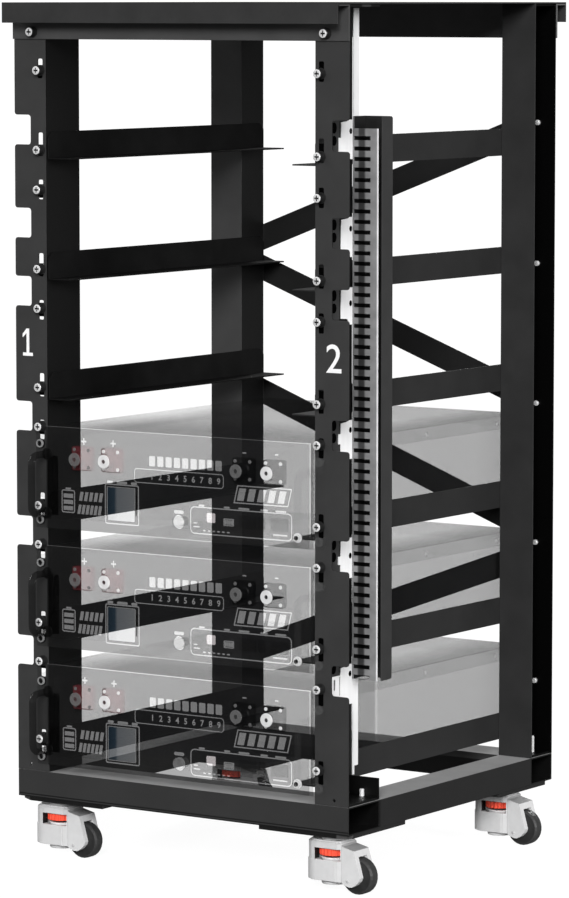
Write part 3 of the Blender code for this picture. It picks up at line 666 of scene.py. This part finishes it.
# ---------------------------------------------------------------- camera, light and floor
def stage():
    scene = bpy.context.scene
    lens = bpy.data.cameras.new("camera")
    lens.sensor_width = 36.0
    lens.lens = 179.03
    lens.clip_end = 100.0
    camera = bpy.data.objects.new("camera", lens)
    camera.location = P(3513.1, -4920.0, 1202.5)
    camera.rotation_euler = (math.radians(90 - 5.788), 0.0, math.radians(34.162))
    scene.collection.objects.link(camera)
    scene.camera = camera

    world = bpy.data.worlds.new("studio")
    scene.world = world
    world.use_nodes = True
    nodes, links = world.node_tree.nodes, world.node_tree.links
    room = nodes["Background"]
    room.inputs["Color"].default_value = (1.0, 1.0, 1.0, 1.0)
    room.inputs["Strength"].default_value = 0.16
    wall = nodes.new("ShaderNodeBackground")
    wall.inputs["Color"].default_value = (1.0, 1.0, 1.0, 1.0)
    wall.inputs["Strength"].default_value = 0.21
    toward = nodes.new("ShaderNodeSeparateXYZ")
    links.new(nodes.new("ShaderNodeTexCoord").outputs["Generated"], toward.inputs["Vector"])
    around = nodes.new("ShaderNodeMixShader")
    links.new(spread(nodes, links, toward.outputs["Y"], 0.0, 1.0, 0.0, 0.8), around.inputs["Fac"])
    links.new(room.outputs["Background"], around.inputs[1])
    links.new(wall.outputs["Background"], around.inputs[2])
    sweep = nodes.new("ShaderNodeBackground")
    sweep.inputs["Color"].default_value = (1.0, 1.0, 1.0, 1.0)
    sweep.inputs["Strength"].default_value = 1.05
    pick = nodes.new("ShaderNodeMixShader")
    links.new(nodes.new("ShaderNodeLightPath").outputs["Is Camera Ray"], pick.inputs["Fac"])
    links.new(around.outputs["Shader"], pick.inputs[1])
    links.new(sweep.outputs["Background"], pick.inputs[2])
    links.new(pick.outputs["Shader"], nodes["World Output"].inputs["Surface"])

    for name, toward, strength, angle in (
        ("key_right", (0.47, -0.81, 0.34), 3.5, 20.0),
        ("fill_left", (-0.60, -0.60, 0.50), 0.6, 40.0),
        ("rim_right", (0.95, -0.15, 0.28), 2.0, 20.0),
        ("back_fill", (-0.22, 0.93, 0.25), 1.6, 10.0),
        ("left_fill", (-0.95, 0.25, 0.20), 0.9, 10.0),
    ):
        sun = bpy.data.lights.new(name, "SUN")
        sun.energy = strength
        sun.angle = math.radians(angle)
        light = bpy.data.objects.new(name, sun)
        light.rotation_euler = Vector(toward).to_track_quat("Z", "Y").to_euler()
        scene.collection.objects.link(light)

    ground = bmesh.new()
    centre = ground.verts.new((0, 0, 0))
    rim = [ground.verts.new((4.0 * math.cos(2 * math.pi * i / 96), 4.0 * math.sin(2 * math.pi * i / 96), 0)) for i in range(96)]
    for i in range(96):
        ground.faces.new((centre, rim[i], rim[(i + 1) % 96]))
    mesh = bpy.data.meshes.new("floor")
    ground.to_mesh(mesh)
    ground.free()
    mesh.materials.append(
        finish("floor_white", grey(0.13), grey(0.16), (0.75, 0.85), specular=0.0, mottle=2.0, grain=40.0, bump=0.0, emission=((1.0, 1.0, 1.0), 0.93))
    )
    floor = bpy.data.objects.new("floor", mesh)
    floor.location.z = -0.0005
    floor.visible_diffuse = False
    floor.visible_glossy = False
    scene.collection.objects.link(floor)

    scene.view_settings.view_transform = "Standard"
    scene.cycles.use_denoising = True
    scene.cycles.transparent_max_bounces = 40


stage()

# ---------------------------------------------------------------- steel frame, rails and duct
for node, look in (
    ("base_frame", BASE_BLACK),
    ("post_front_left", POST_FL_BLACK),
    ("post_front_right", POST_FR_BLACK),
    ("post_rear_left", POST_RL_BLACK),
    ("post_rear_right", POST_RR_BLACK),
    ("top_cover", FRAME_BLACK),
    ("top_front_beam", BEAM_BLACK),
    ("top_rear_beam", REAR_BEAM_BLACK),
):
    dress(node, look, 0.5)
for level in range(1, 7):
    dress(f"rail_l{level}", RAIL_SHADE_BLACK, 0.5)
    dress(f"rail_r{level}", RAIL_BLACK, 0.5)
for number in range(1, 5):
    dress(f"brace_{number}", BRACE_BLACK, 0.4)
dress("duct_bracket", ZINC, 0.25)
dress("duct_body", DUCT_GREY)
dress("duct_cover", DUCT_DARK, 0.5)


# ---------------------------------------------------------------- fasteners
def shift(x, y, z):
    return Matrix.Translation((x, y, z))


def plus(length, width, around=(0.0, 0.0)):
    h, w = length / 2, width / 2
    ca, cb = around
    loop = [(w, -h), (w, -w), (h, -w), (h, w), (w, w), (w, h), (-w, h), (-w, w), (-h, w), (-h, -w), (-w, -w), (-w, -h)]
    return [(ca + a, cb + b) for a, b in loop]


def screw_head(front):
    """The bright face of a pan head with a cross cut through it, facing the front."""
    disc = turned((0, 0, 0), "Y", [(0.0, -front + 1.3), (5.5, -front + 1.3), (5.9, -front + 0.9), (5.6, -front + 0.3), (4.6, -front), (0.0, -front)], 24)
    return carved(disc, [("DIFFERENCE", prism("Y", plus(7.6, 2.3), -front - 1.0, -front + 2.6))])


def screw_body(front, stack):
    """The shank, neck and washers behind a head that stands off its seat at y = 0; they are drawn near-black as painted
    shade.
    """
    profile = [(0.0, 6.0), (2.9, 6.0), (2.9, 0.0)]
    profile += [(7.6, 0.0), (7.6, -1.5), (6.5, -1.6)] if stack else [(6.3, 0.0)]
    profile += [(6.3, -front + 1.9), (5.6, -front + 1.35), (0.0, -front + 1.35)]
    return turned((0, 0, 0), "Y", profile, 24)


upper = [(side * HOLE_X, SCREW_TOP - SCREW_PITCH * k) for side in (-1, 1) for k in range(6)]
lower = [(side * HOLE_X, SCREW_TOP - SCREW_DROP - SCREW_PITCH * k) for side in (-1, 1) for k in range(3)]
spots = [shift(x, 0.0, z) for x, z in upper + lower]
piece("post_screws", copies(screw_head(11.3), spots), BRIGHT, "rack", smooth=32.0)
piece("post_screw_washers", copies(screw_body(11.3, True), spots), SHADE_BLACK, "rack", smooth=32.0)
every = upper + [(side * HOLE_X, SCREW_TOP - SCREW_DROP - SCREW_PITCH * k) for side in (-1, 1) for k in range(6)]
# Near-black plates behind the front flanges round each screw, painted shade.
for side, word, under, over in ((-1, "left", -11.5, 7.4), (1, "right", -24.0, 17.0)):
    backing = prism("Y", rounded(-7.0, under, 6.9, over, 1.5, 3), 2.4, 5.4, [circle(0, 0, 3.4, 16)])
    piece(f"post_nut_plates_{word}", copies(backing, [shift(x, 0.0, z) for x, z in every if x * side > 0]), HOLE_SHADE, "rack", smooth=20.0)
beam = [shift(side * 243.0, -2.3, 1153.8) for side in (-1, 1)]
piece("beam_screws", copies(screw_head(10.3), beam), BRIGHT, "rack", smooth=32.0)
piece("beam_screw_washers", copies(screw_body(10.3, True), beam), SHADE_BLACK, "rack", smooth=32.0)

layers = {-1: (530.6, 535.3, 533.0, 530.6, 535.3), 1: (533.0, 530.6, 535.3, 535.3, 530.6)}
inside, outside = [], []
for side in (-1, 1):
    for i in range(5):
        z = FLANGE_HOLE_Z - FLANGE_HOLE_PITCH * i
        inside.append(shift(side * 250.0, 528.2, z))
        outside.append(shift(side * 250.0, layers[side][i] + 0.1, z))
bolt = turned((0, 0, 0), "Y", [(0.0, -3.6), (3.0, -3.6), (3.8, -2.9), (3.8, 0.0), (3.0, 0.0), (3.0, 2.0), (0.0, 2.0)], 20)
piece("brace_bolts", copies(bolt, inside), BRIGHT, "rack", smooth=32.0)
acorn = turned((0, 0, 0), "Y", [(0.0, 0.0), (7.6, 0.0), (7.6, 1.3), (5.6, 1.3), (5.6, 4.6), (3.0, 5.2), (3.0, 8.0), (0.0, 8.0)], 6)
piece("brace_nuts", copies(acorn, outside), BRIGHT, "rack", smooth=20.0)

fore = turned((0, 0, 0), "Z", [(0.0, 117.0), (1.8, 117.0), (1.8, 126.9), (3.3, 126.9), (3.3, 136.2), (2.6, 137.0), (0.0, 137.0)], 16)
aft = turned((0, 0, 0), "Z", [(0.0, 126.9), (2.6, 126.9), (2.6, 150.2), (2.0, 151.0), (0.0, 151.0)], 16)
piece("foot_bolts_front", copies(fore, [shift(side * 253.0, 70.0, 0.0) for side in (-1, 1)]), BRIGHT, "rack", smooth=30.0)
piece("foot_bolts_rear", copies(aft, [shift(side * 262.0, 502.0, 0.0) for side in (-1, 1)]), BRIGHT, "rack", smooth=30.0)

# painted shade: near-black patches in the bracket's holes and near-black slot shapes on the right post's web for its
# tie slots, standing for the shade in them
hole_shade_patches = [prism("X", slot(79.9, z, 6.4, 8.0), 227.22, 227.34) for z in (1023.3, 892.9, 792.7, 621.9, 451.5, 290.7)]
piece("bracket_hole_shade", together(hole_shade_patches), HOLE_SHADE, "rack", smooth=20.0)
tie_slot_shade = [prism("X", slot(42.0, z + d, 12.0, n), 225.42, 225.62) for z in (1019.2, 890.5, 795.8, 621.7, 461.1, 292.6) for d, n in ((9.0, 15.0), (-8.0, 13.5))]
piece("web_tie_slot_shade", together(tie_slot_shade), HOLE_SHADE, "rack", smooth=20.0)


# ---------------------------------------------------------------- plain numerals
def figures(text, x, z, height, y0, y1, lean=0.0, weight=0.0):
    """Plain numerals of the given height, centred on x and z and standing on an upright face."""
    scene = bpy.context.scene
    curve = bpy.data.curves.new("figures", "FONT")
    curve.body = text
    curve.align_x, curve.align_y = "CENTER", "CENTER"
    curve.resolution_u = 5
    curve.extrude = 0.5
    curve.offset = weight
    thing = bpy.data.objects.new("figures", curve)
    scene.collection.objects.link(thing)
    bpy.context.view_layer.update()
    done = thing.evaluated_get(bpy.context.evaluated_depsgraph_get())
    mesh = done.to_mesh()
    shape = bmesh.new()
    shape.from_mesh(mesh)
    done.to_mesh_clear()
    bpy.data.objects.remove(thing)
    bpy.data.curves.remove(curve)
    bmesh.ops.remove_doubles(shape, verts=shape.verts, dist=1e-5)
    low = min(v.co.y for v in shape.verts)
    high = max(v.co.y for v in shape.verts)
    left = min(v.co.x for v in shape.verts)
    right = max(v.co.x for v in shape.verts)
    k = height / (high - low)
    for v in shape.verts:
        a, b, c = v.co
        b = (b - (low + high) / 2) * k
        v.co = (x + (a - (left + right) / 2) * k + lean * b, y0 if c > 0 else y1, z + b)
    bmesh.ops.recalc_face_normals(shape, faces=shape.faces)
    return shape


nx, nz, h, t, w = -256.5, 724.5, 19.0, 4.5, 2.3
one = [
    (nx - 8.5, nz - h), (nx + 8.5, nz - h), (nx + 8.5, nz - h + t), (nx + w, nz - h + t), (nx + w, nz + h), (nx - w, nz + h),
    (nx - 9.0, nz + h - 7.5), (nx - 9.0, nz + h - 12.5), (nx - w, nz + h - 6.5), (nx - w, nz - h + t), (nx - 8.5, nz - h + t),
]
piece("post_number_left", prism("Y", one, -0.25, -0.04), PAINT_WHITE, "rack", smooth=0)
piece("post_number_right", figures("2", 253.4, 724.5, 38.0, -0.25, -0.04, weight=0.005), PAINT_WHITE, "rack", smooth=0)


# ---------------------------------------------------------------- levelling casters
def lobed(radius, depth, count):
    """The outline of a hand dial with rounded ribs."""
    loop = []
    for i in range(count):
        for part, r in ((0.0, radius), (0.3, radius), (0.46, radius - depth), (0.84, radius - depth)):
            t = 2 * math.pi * (i + part) / count
            loop.append((r * math.cos(t), r * math.sin(t)))
    return loop


for name, cx, cy in (
    ("fl", -CASTER_X, CASTER_YF),
    ("fr", CASTER_X, CASTER_YF),
    ("rl", -CASTER_X, CASTER_YR),
    ("rr", CASTER_X, CASTER_YR),
):
    dress(f"caster_{name}_housing", CASTING, 0.8)
    dress(f"caster_{name}_wheel", TREAD, 0.6)
    dial = prism("Z", lobed(20.3, 1.0, 22), 50.6, 59.8)
    bmesh.ops.transform(dial, matrix=shift(cx, cy, 0.0), verts=dial.verts)
    piece(f"caster_{name}_dial", dial, DIAL_RED, f"foot_{name}", smooth=30.0, bevel=0.5, replaces=(f"caster_{name}_foot",))
    collar = turned((cx, cy, 0.0), "Z", [(0.0, 43.1), (16.2, 43.1), (17.5, 45.3), (17.9, 46.2), (18.3, 47.0), (18.1, 47.4), (0.0, 47.4)], 36)
    piece(f"caster_{name}_collar", collar, PAINT_WHITE, f"foot_{name}", smooth=30.0)
    # The neck under the dial, near-black as painted shade.
    neck = turned((cx, cy, 0.0), "Z", [(0.0, 47.45), (13.0, 47.45), (13.0, 50.5), (0.0, 50.5)], 28)
    piece(f"caster_{name}_neck", neck, SHADE_BLACK, f"foot_{name}", smooth=30.0)
    thread = [(0.0, 15.7)]
    for i in range(18):
        thread += [(5.5, 15.7 + 1.5 * i), (6.2, 16.3 + 1.5 * i), (6.2, 16.6 + 1.5 * i)]
    thread += [(5.5, 43.0), (0.0, 43.0)]
    piece(f"caster_{name}_stem", turned((cx, cy, 0.0), "Z", thread, 20), BRIGHT, f"foot_{name}", smooth=40.0)
    pad = turned((cx, cy, 0.0), "Z", [(0.0, 10.5), (12.0, 10.5), (12.6, 11.1), (15.6, 11.1), (16.4, 10.8), (17.2, 12.0), (17.2, 14.0), (16.4, 14.8), (8.0, 15.6), (0.0, 15.6)], 36)
    piece(f"caster_{name}_pad", pad, CASTING, f"foot_{name}", smooth=35.0)
    # Near-black cheeks beside the dial, painted shade.
    cheeks = [box(cx - 18.35, cy + a, 45.1, cx - 18.1, cy + b, 60.9) for a, b in ((-20.6, -9.9), (9.9, 20.6))]
    piece(f"caster_{name}_cheeks", together(cheeks), SHADE_BLACK, f"caster_{name}", smooth=0)

    # raised skirt round the lower body, and the rivets of the wheel fork
    outer = arc(-15.5, 0, 22.6, 90, 270, 18)
    skirt_loop = [(15.5, 22.6)] + outer + [(15.5, -22.6), (15.5, -21.9)] + list(reversed(arc(-15.5, 0, 21.9, 90, 270, 18))) + [(15.5, 21.9)]
    skirt = prism("Z", skirt_loop, 17.0, 44.0)
    bmesh.ops.transform(skirt, matrix=shift(cx, cy, 0.0), verts=skirt.verts)
    piece(f"caster_{name}_skirt", skirt, CASTING, f"caster_{name}", smooth=30.0)
    rivets = [
        turned((cx + 33.5, cy + side * 18.5, 18.7), "Y", [(0.0, side * -0.4), (2.4, side * -0.4), (2.4, side * 0.5), (1.6, side * 1.0), (0.0, side * 1.1)], 16)
        for side in (-1, 1)
    ]
    piece(f"caster_{name}_rivets", together(rivets), CASTING_DEEP, f"caster_{name}", smooth=30.0)
    hubs = []
    for side in (-1, 1):
        profile = [(0.0, 8.7), (22.4, 8.7), (22.4, 9.15), (13.0, 9.3), (12.0, 9.8), (7.0, 9.8), (6.4, 9.3), (0.0, 9.3)]
        hubs.append(turned((cx + TRAIL, cy, 25.0), "Y", [(r, side * y) for r, y in profile], 28))
    piece(f"caster_{name}_hubs", together(hubs), HUB, f"wheel_{name}", smooth=30.0)

# ---------------------------------------------------------------- batteries
FRONT = PANEL_Y0 - 0.05  # printed marks start just in front of the panel


def frame_line(x0, z0, x1, z1, r, w, y0=FRONT - 0.2, y1=FRONT):
    return prism("Y", rounded(x0, z0, x1, z1, r, 5), y0, y1, [rounded(x0 + w, z0 + w, x1 - w, z1 - w, max(r - w, 0.3), 5)])


def inlaid(outline, lines, holes, low, high):
    """An upright plate with holes, where each line of (outer, inner) loops is cut through around an island."""

    def inside(loop, area):
        across, up = [a for a, _ in area], [b for _, b in area]
        return min(across) < loop[0][0] < max(across) and min(up) < loop[0][1] < max(up)

    islands = [inner for _, inner in lines]
    free = [loop for loop in holes if not any(inside(loop, island) for island in islands)]
    shapes = [prism("Y", outline, low, high, [outer for outer, _ in lines] + free)]
    for island in islands:
        shapes.append(prism("Y", island, low, high, [loop for loop in holes if inside(loop, island)]))
    return together(shapes)


def leaning(x0, z0, x1, z1, lean):
    h = z1 - z0
    return [(x0, z0), (x1, z0), (x1 + lean * h, z1), (x0 + lean * h, z1)]


for number, level in enumerate((3, 4, 5), 1):
    tag, body = f"battery{number}", f"battery{number}"
    shelf = LEDGE_TOP - LEVEL_PITCH * level
    lid_top = shelf + 129.3
    dress(f"{tag}_case", GHOST_CASE)
    dress(f"{tag}_lid", lid_material(number, lid_top, (None, (156.0, 38.0), (127.0, 70.0))[number - 1]))
    dress(f"{tag}_handle_left", GHOST_HANDLE)
    dress(f"{tag}_handle_right", GHOST_GRIP)
    dress(f"{tag}_cell_pack", GHOST_CELLS)
    dress(f"{tag}_power_button", GHOST_BUTTON)

    # printed marks, let into the panel: polarity signs, level bars, leaning bars and a plain battery outline
    bars, lines = [], []
    for x, z in ((-158.8, 110.6), (-108.7, 110.4)):
        bars.append(plus(9.4, 2.4, (x, shelf + z)))
    for x, z in ((110.7, 110.2), (163.1, 110.5)):
        bars.append(rect(x - 3.2, shelf + z - 0.9, x + 3.2, shelf + z + 0.9))
    for i in range(9):
        x0 = -48.0 + 13.9 * i
        bars.append(rounded(x0, shelf + 83.0, x0 + 10.6, shelf + 97.0, 1.6, 3))
    for i in range(5):
        bars.append(leaning(98.6 + 16.4 * i, shelf + 45.0, 109.6 + 16.4 * i, shelf + 62.0, 0.25))
    bars.append(rect(-190.0, shelf + 42.4, -181.0, shelf + 45.0))
    for i in range(3):
        bars.append(rect(-193.6, shelf + 13.6 + 8.6 * i, -177.4, shelf + 19.4 + 8.6 * i))
    for i in range(5):
        bars.append(leaning(-167.0 + 8.4 * i, shelf + 28.0, -161.6 + 8.4 * i, shelf + 40.5, 0.2))
    for i in range(6):
        bars.append(leaning(-170.0 + 7.0 * i, shelf + 9.5, -165.2 + 7.0 * i, shelf + 22.5, 0.2))
    bars.append(rounded(-6.5, shelf + 20.6, 10.5, shelf + 25.4, 2.4, 4))
    lines.append((rounded(-73.0, shelf + 59.0, 77.0, shelf + 79.0, 5.0, 5), rounded(-71.8, shelf + 60.2, 75.8, shelf + 77.8, 3.8, 5)))
    lines.append((leaning(93.0, shelf + 41.0, 182.0, shelf + 66.0, 0.25), leaning(95.2, shelf + 42.6, 180.6, shelf + 64.4, 0.25)))
    lines.append((rounded(-197.0, shelf + 10.0, -174.0, shelf + 42.0, 3.0, 4), rounded(-195.4, shelf + 11.6, -175.6, shelf + 40.4, 1.5, 4)))

    # display: frame line with three lugs on its upper edge, and the glass
    left, right, under, over = -122.6, -64.7, shelf - 1.0, shelf + 55.0
    lines.append((rounded(left, under, right, over, 3.0, 4), rounded(left + 1.7, under + 1.7, right - 1.7, over - 1.7, 1.6, 4)))
    for xc, half in ((-114.0, 5.0), (-93.5, 9.0), (-73.0, 5.0)):
        bars.append(rounded(xc - half, over + 0.3, xc + half, over + 4.0, 1.7, 4))
    glass = rounded(left + 4.8, under + 5.2, right - 7.4, over - 5.2, 1.2, 3)

    # data panel: frame line with lugs and short strokes, lamp, switch block and sockets
    lines.append((rounded(20.9, shelf - 5.0, 188.2, shelf + 32.6, 7.0, 5), rounded(22.5, shelf - 3.4, 186.6, shelf + 31.0, 5.4, 5)))
    for xc, half in ((40.0, 5.0), (82.0, 5.0), (110.0, 9.0), (143.0, 6.0), (170.0, 9.0)):
        bars.append(rounded(xc - half, shelf + 32.9, xc + half, shelf + 35.6, 1.3, 4))
    for i in range(2):
        bars.append(rounded(26.0, shelf + 4.0 + 5.0 * i, 37.0 - 4.0 * i, shelf + 6.0 + 5.0 * i, 0.9, 3))
    for i in range(6):
        bars.append(rounded(42.0 + 8.0 * i, shelf - 0.6, 46.6 + 8.0 * i, shelf + 1.4, 0.8, 3))
    bars.append(rounded(157.0, shelf + 1.2, 181.0, shelf + 3.4, 0.9, 3))
    lamp = rounded(48.5, shelf + 12.0, 63.0, shelf + 25.0, 1.5, 3)

    # panel with rack ears, cut out for the marks, the glass, the lamp, the terminals and the button
    low, high = shelf - 13.5, shelf + 128.8
    top, notch, back = high - 0.6, shelf + 122.5, PANEL_Y0 + 0.6
    loop = [(-241.3, low), (241.3, low), (241.3, top)]
    for x in (HOLE_X, -HOLE_X):
        loop += [(x + 7.0, top), (x + 7.0, notch)] + arc(x, notch, 7.0, 0, -180, 12)[1:] + [(x - 7.0, top)]
    loop += [(-241.3, top)]
    pierced = [circle(BUTTON_X, shelf + BUTTON_Z, BUTTON_R + 0.6, 28)]
    pierced += [slot(x, shelf + 20.5, 7.0, 17.0) for x in (-HOLE_X, HOLE_X)]
    pierced += [rounded(x - 16.4, shelf + TERMINAL_Z - 16.4, x + 16.4, shelf + TERMINAL_Z + 16.4, 3.0, 4) for x in TERMINALS]
    pierced += bars + [glass, lamp]
    piece(f"{tag}_face", inlaid(loop, lines, pierced, PANEL_Y0, back), GHOST_PANEL, body, smooth=0, replaces=(f"{tag}_front_panel",))
    # Painted highlight: a thin light strip along the panel's top edge.
    highlight_strip = box(-224.0, PANEL_Y0, high - 0.5, 216.0, back, high)
    piece(f"{tag}_face_highlight_strip", highlight_strip, GHOST_EDGE_HIGHLIGHT, body, smooth=0)
    marks = [prism("Y", bar, FRONT - 0.2, FRONT) for bar in bars] + [prism("Y", outer, FRONT - 0.2, FRONT, [inner]) for outer, inner in lines]
    piece(f"{tag}_marks", together(marks), GHOST_PRINT, body, smooth=0)
    digits = [figures(str(i + 1), -42.7 + 13.9 * i, shelf + 69.0, 8.6, FRONT - 0.2, FRONT, weight=0.02) for i in range(9)]
    piece(f"{tag}_scale", together(digits), GHOST_DIGIT, body, smooth=0)
    inner = frame_line(left + 3.6, under + 4.0, right - 6.2, over - 4.0, 1.5, 0.9, FRONT - 0.5)
    piece(f"{tag}_display_bezel", inner, GHOST_PRINT, body, smooth=0)
    piece(f"{tag}_display_glass", prism("Y", glass, FRONT - 0.4, FRONT), GHOST_SCREEN, body, smooth=0)
    bar = prism("Y", rect(right - 5.6, under + 14.0, right - 3.6, under + 44.0), FRONT - 0.4, FRONT)
    piece(f"{tag}_display_edge", bar, GHOST_BLACK, body, smooth=0)
    piece(f"{tag}_data_lamp", prism("Y", lamp, FRONT - 1.2, FRONT), GHOST_LAMP, body, smooth=0)
    switch = [frame_line(77.6, shelf + 9.4, 93.6, shelf + 19.4, 0.8, 1.2, FRONT - 1.6)]
    for i in range(4):
        switch.append(box(79.6 + 3.2 * i, FRONT - 1.2, shelf + 11.4, 81.8 + 3.2 * i, FRONT, shelf + 17.4))
    piece(f"{tag}_switch_block", together(switch), GHOST_PRINT, body, smooth=0)
    sockets = []
    for a0, a1 in ((102.7, 130.6), (133.8, 145.2), (155.0, 182.6)):
        sockets.append(frame_line(a0, shelf + 8.0, a1, shelf + 25.0, 1.0, 1.4, FRONT - 1.5))
        sockets.append(prism("Y", rect(a0 + 1.7, shelf + 9.7, a1 - 1.7, shelf + 23.3), FRONT - 0.3, FRONT))
    piece(f"{tag}_sockets", together(sockets), GHOST_SOCKET, body, smooth=0)

    # terminals: square base, round boss, end cap and four corner screws each
    reds, blacks, dots = [], [], []
    caps, corners = {True: [], False: []}, {True: [], False: []}
    for x in TERMINALS:
        z = shelf + TERMINAL_Z
        block = prism("Y", rounded(x - 16.5, z - 16.5, x + 16.5, z + 16.5, 3.0, 4), PANEL_Y0 - 7.6, PANEL_Y0 - 0.05)
        boss = turned((x, 0, z), "Y", [(0.0, PANEL_Y0 - 22.6), (8.6, PANEL_Y0 - 22.6), (9.5, PANEL_Y0 - 21.4), (9.5, PANEL_Y0 - 9.0), (11.5, PANEL_Y0 - 7.2), (0.0, PANEL_Y0 - 7.2)], 28)
        (reds if x < 0 else blacks).append(carved(block, [("UNION", boss)]))
        caps[x in (-107.0, 163.0)].append(ring((x, 0, z), "Y", 3.0, 9.5, PANEL_Y0 - 25.0, PANEL_Y0 - 22.9, 28, 0.5))
        dots.append(turned((x, 0, z), "Y", [(0.0, PANEL_Y0 - 24.4), (2.9, PANEL_Y0 - 24.4), (2.9, PANEL_Y0 - 22.9), (0.0, PANEL_Y0 - 22.9)], 12))
        for dx in (-12.0, 12.0):
            for dz in (-12.0, 12.0):
                corners[x in (-107.0, 163.0)].append(turned((x + dx, 0, z + dz), "Y", [(0.0, PANEL_Y0 - 8.8), (2.0, PANEL_Y0 - 8.8), (2.6, PANEL_Y0 - 8.3), (2.6, PANEL_Y0 - 7.7), (0.0, PANEL_Y0 - 7.7)], 14))
    piece(f"{tag}_terminals_red", together(reds), GHOST_RED, body, smooth=30.0)
    piece(f"{tag}_terminals_black", together(blacks), GHOST_BLACK, body, smooth=30.0)
    # Painted light and shade: the caps and corner screws of the terminals at x -107 and 163 get a light finish as lit,
    # the other two a dark finish as shaded.
    for lit, word, look in ((True, "bright", GHOST_CAP), (False, "painted_shade", GHOST_CAP_SHADE)):
        piece(f"{tag}_terminal_caps_{word}", together(caps[lit]), look, body, smooth=30.0)
        piece(f"{tag}_terminal_screws_{word}", together(corners[lit]), look, body, smooth=30.0)
    piece(f"{tag}_terminal_cores", together(dots), GHOST_GREY, body, smooth=30.0)

    # earth stud, ear screws of the module, its screws through the slots, lid screws and the feet of the handles
    earth = [
        ring((197.9, 0, shelf + 1.0), "Y", 3.4, 6.6, FRONT - 1.2, FRONT, 24),
        prism("Y", circle(197.9, shelf + 1.0, 5.2, 6), FRONT - 4.6, FRONT - 1.4, [circle(197.9, shelf + 1.0, 3.3, 16)]),
    ]
    piece(f"{tag}_earth_nut", together(earth), GHOST_CAP, body, smooth=30.0)
    stud = turned((197.9, 0, shelf + 1.0), "Y", [(0.0, FRONT - 6.4), (2.4, FRONT - 6.4), (3.0, FRONT - 5.8), (3.0, FRONT), (0.0, FRONT)], 16)
    piece(f"{tag}_earth_stud", stud, GHOST_BLACK, body, smooth=30.0)
    for x, word, rim_look, seat_look in ((-HOLE_X, "left", GHOST_STEEL, GHOST_BLACK), (HOLE_X, "right", GHOST_FAINT, GHOST_FAINT)):
        rims, seats = [], []
        for z in (104.2, -2.2):
            rims.append(ring((x, 0, shelf + z), "Y", 3.9, 5.9, FRONT - 4.4, FRONT - 1.2, 24, 0.6))
            seats.append(turned((x, 0, shelf + z), "Y", [(0.0, FRONT - 3.0), (3.8, FRONT - 3.0), (3.8, FRONT - 1.1), (6.6, FRONT - 1.1), (6.6, FRONT), (0.0, FRONT)], 20))
        piece(f"{tag}_ear_screws_{word}", together(rims), rim_look, body, smooth=30.0)
        piece(f"{tag}_ear_seats_{word}", together(seats), seat_look, body, smooth=30.0)
    through = [shift(side * HOLE_X, PANEL_Y0 - 0.1, SCREW_TOP - SCREW_DROP - SCREW_PITCH * level) for side in (-1, 1)]
    piece(f"{tag}_slot_screws", copies(screw_head(8.6), through), BRIGHT, body, smooth=32.0)
    piece(f"{tag}_slot_washers", copies(screw_body(8.6, True), through), SHADE_BLACK, body, smooth=32.0)
    for side, word, look in ((-1, "left", GHOST_FAINT), (1, "right", GHOST_STEEL)):
        pins = [
            turned((side * 218.1, y, lid_top - 12.0), "X", [(0.0, 0.0), (3.4, 0.0), (3.2, side * 0.9), (2.2, side * 1.6), (0.0, side * 1.8)], 18)
            for y in (98.0, 285.0, 472.0)
        ]
        piece(f"{tag}_lid_screws_{word}", together(pins), look, body, smooth=40.0)
    for side, word, look in ((-1, "left", GHOST_HANDLE), (1, "right", GHOST_GRIP)):
        roots = [ring((side * 222.0, 0, shelf + z), "Y", 5.3, 8.2, FRONT - 1.8, FRONT, 24, 0.4) for z in (8.0, 90.0)]
        piece(f"{tag}_handle_roots_{word}", together(roots), look, body, smooth=30.0)
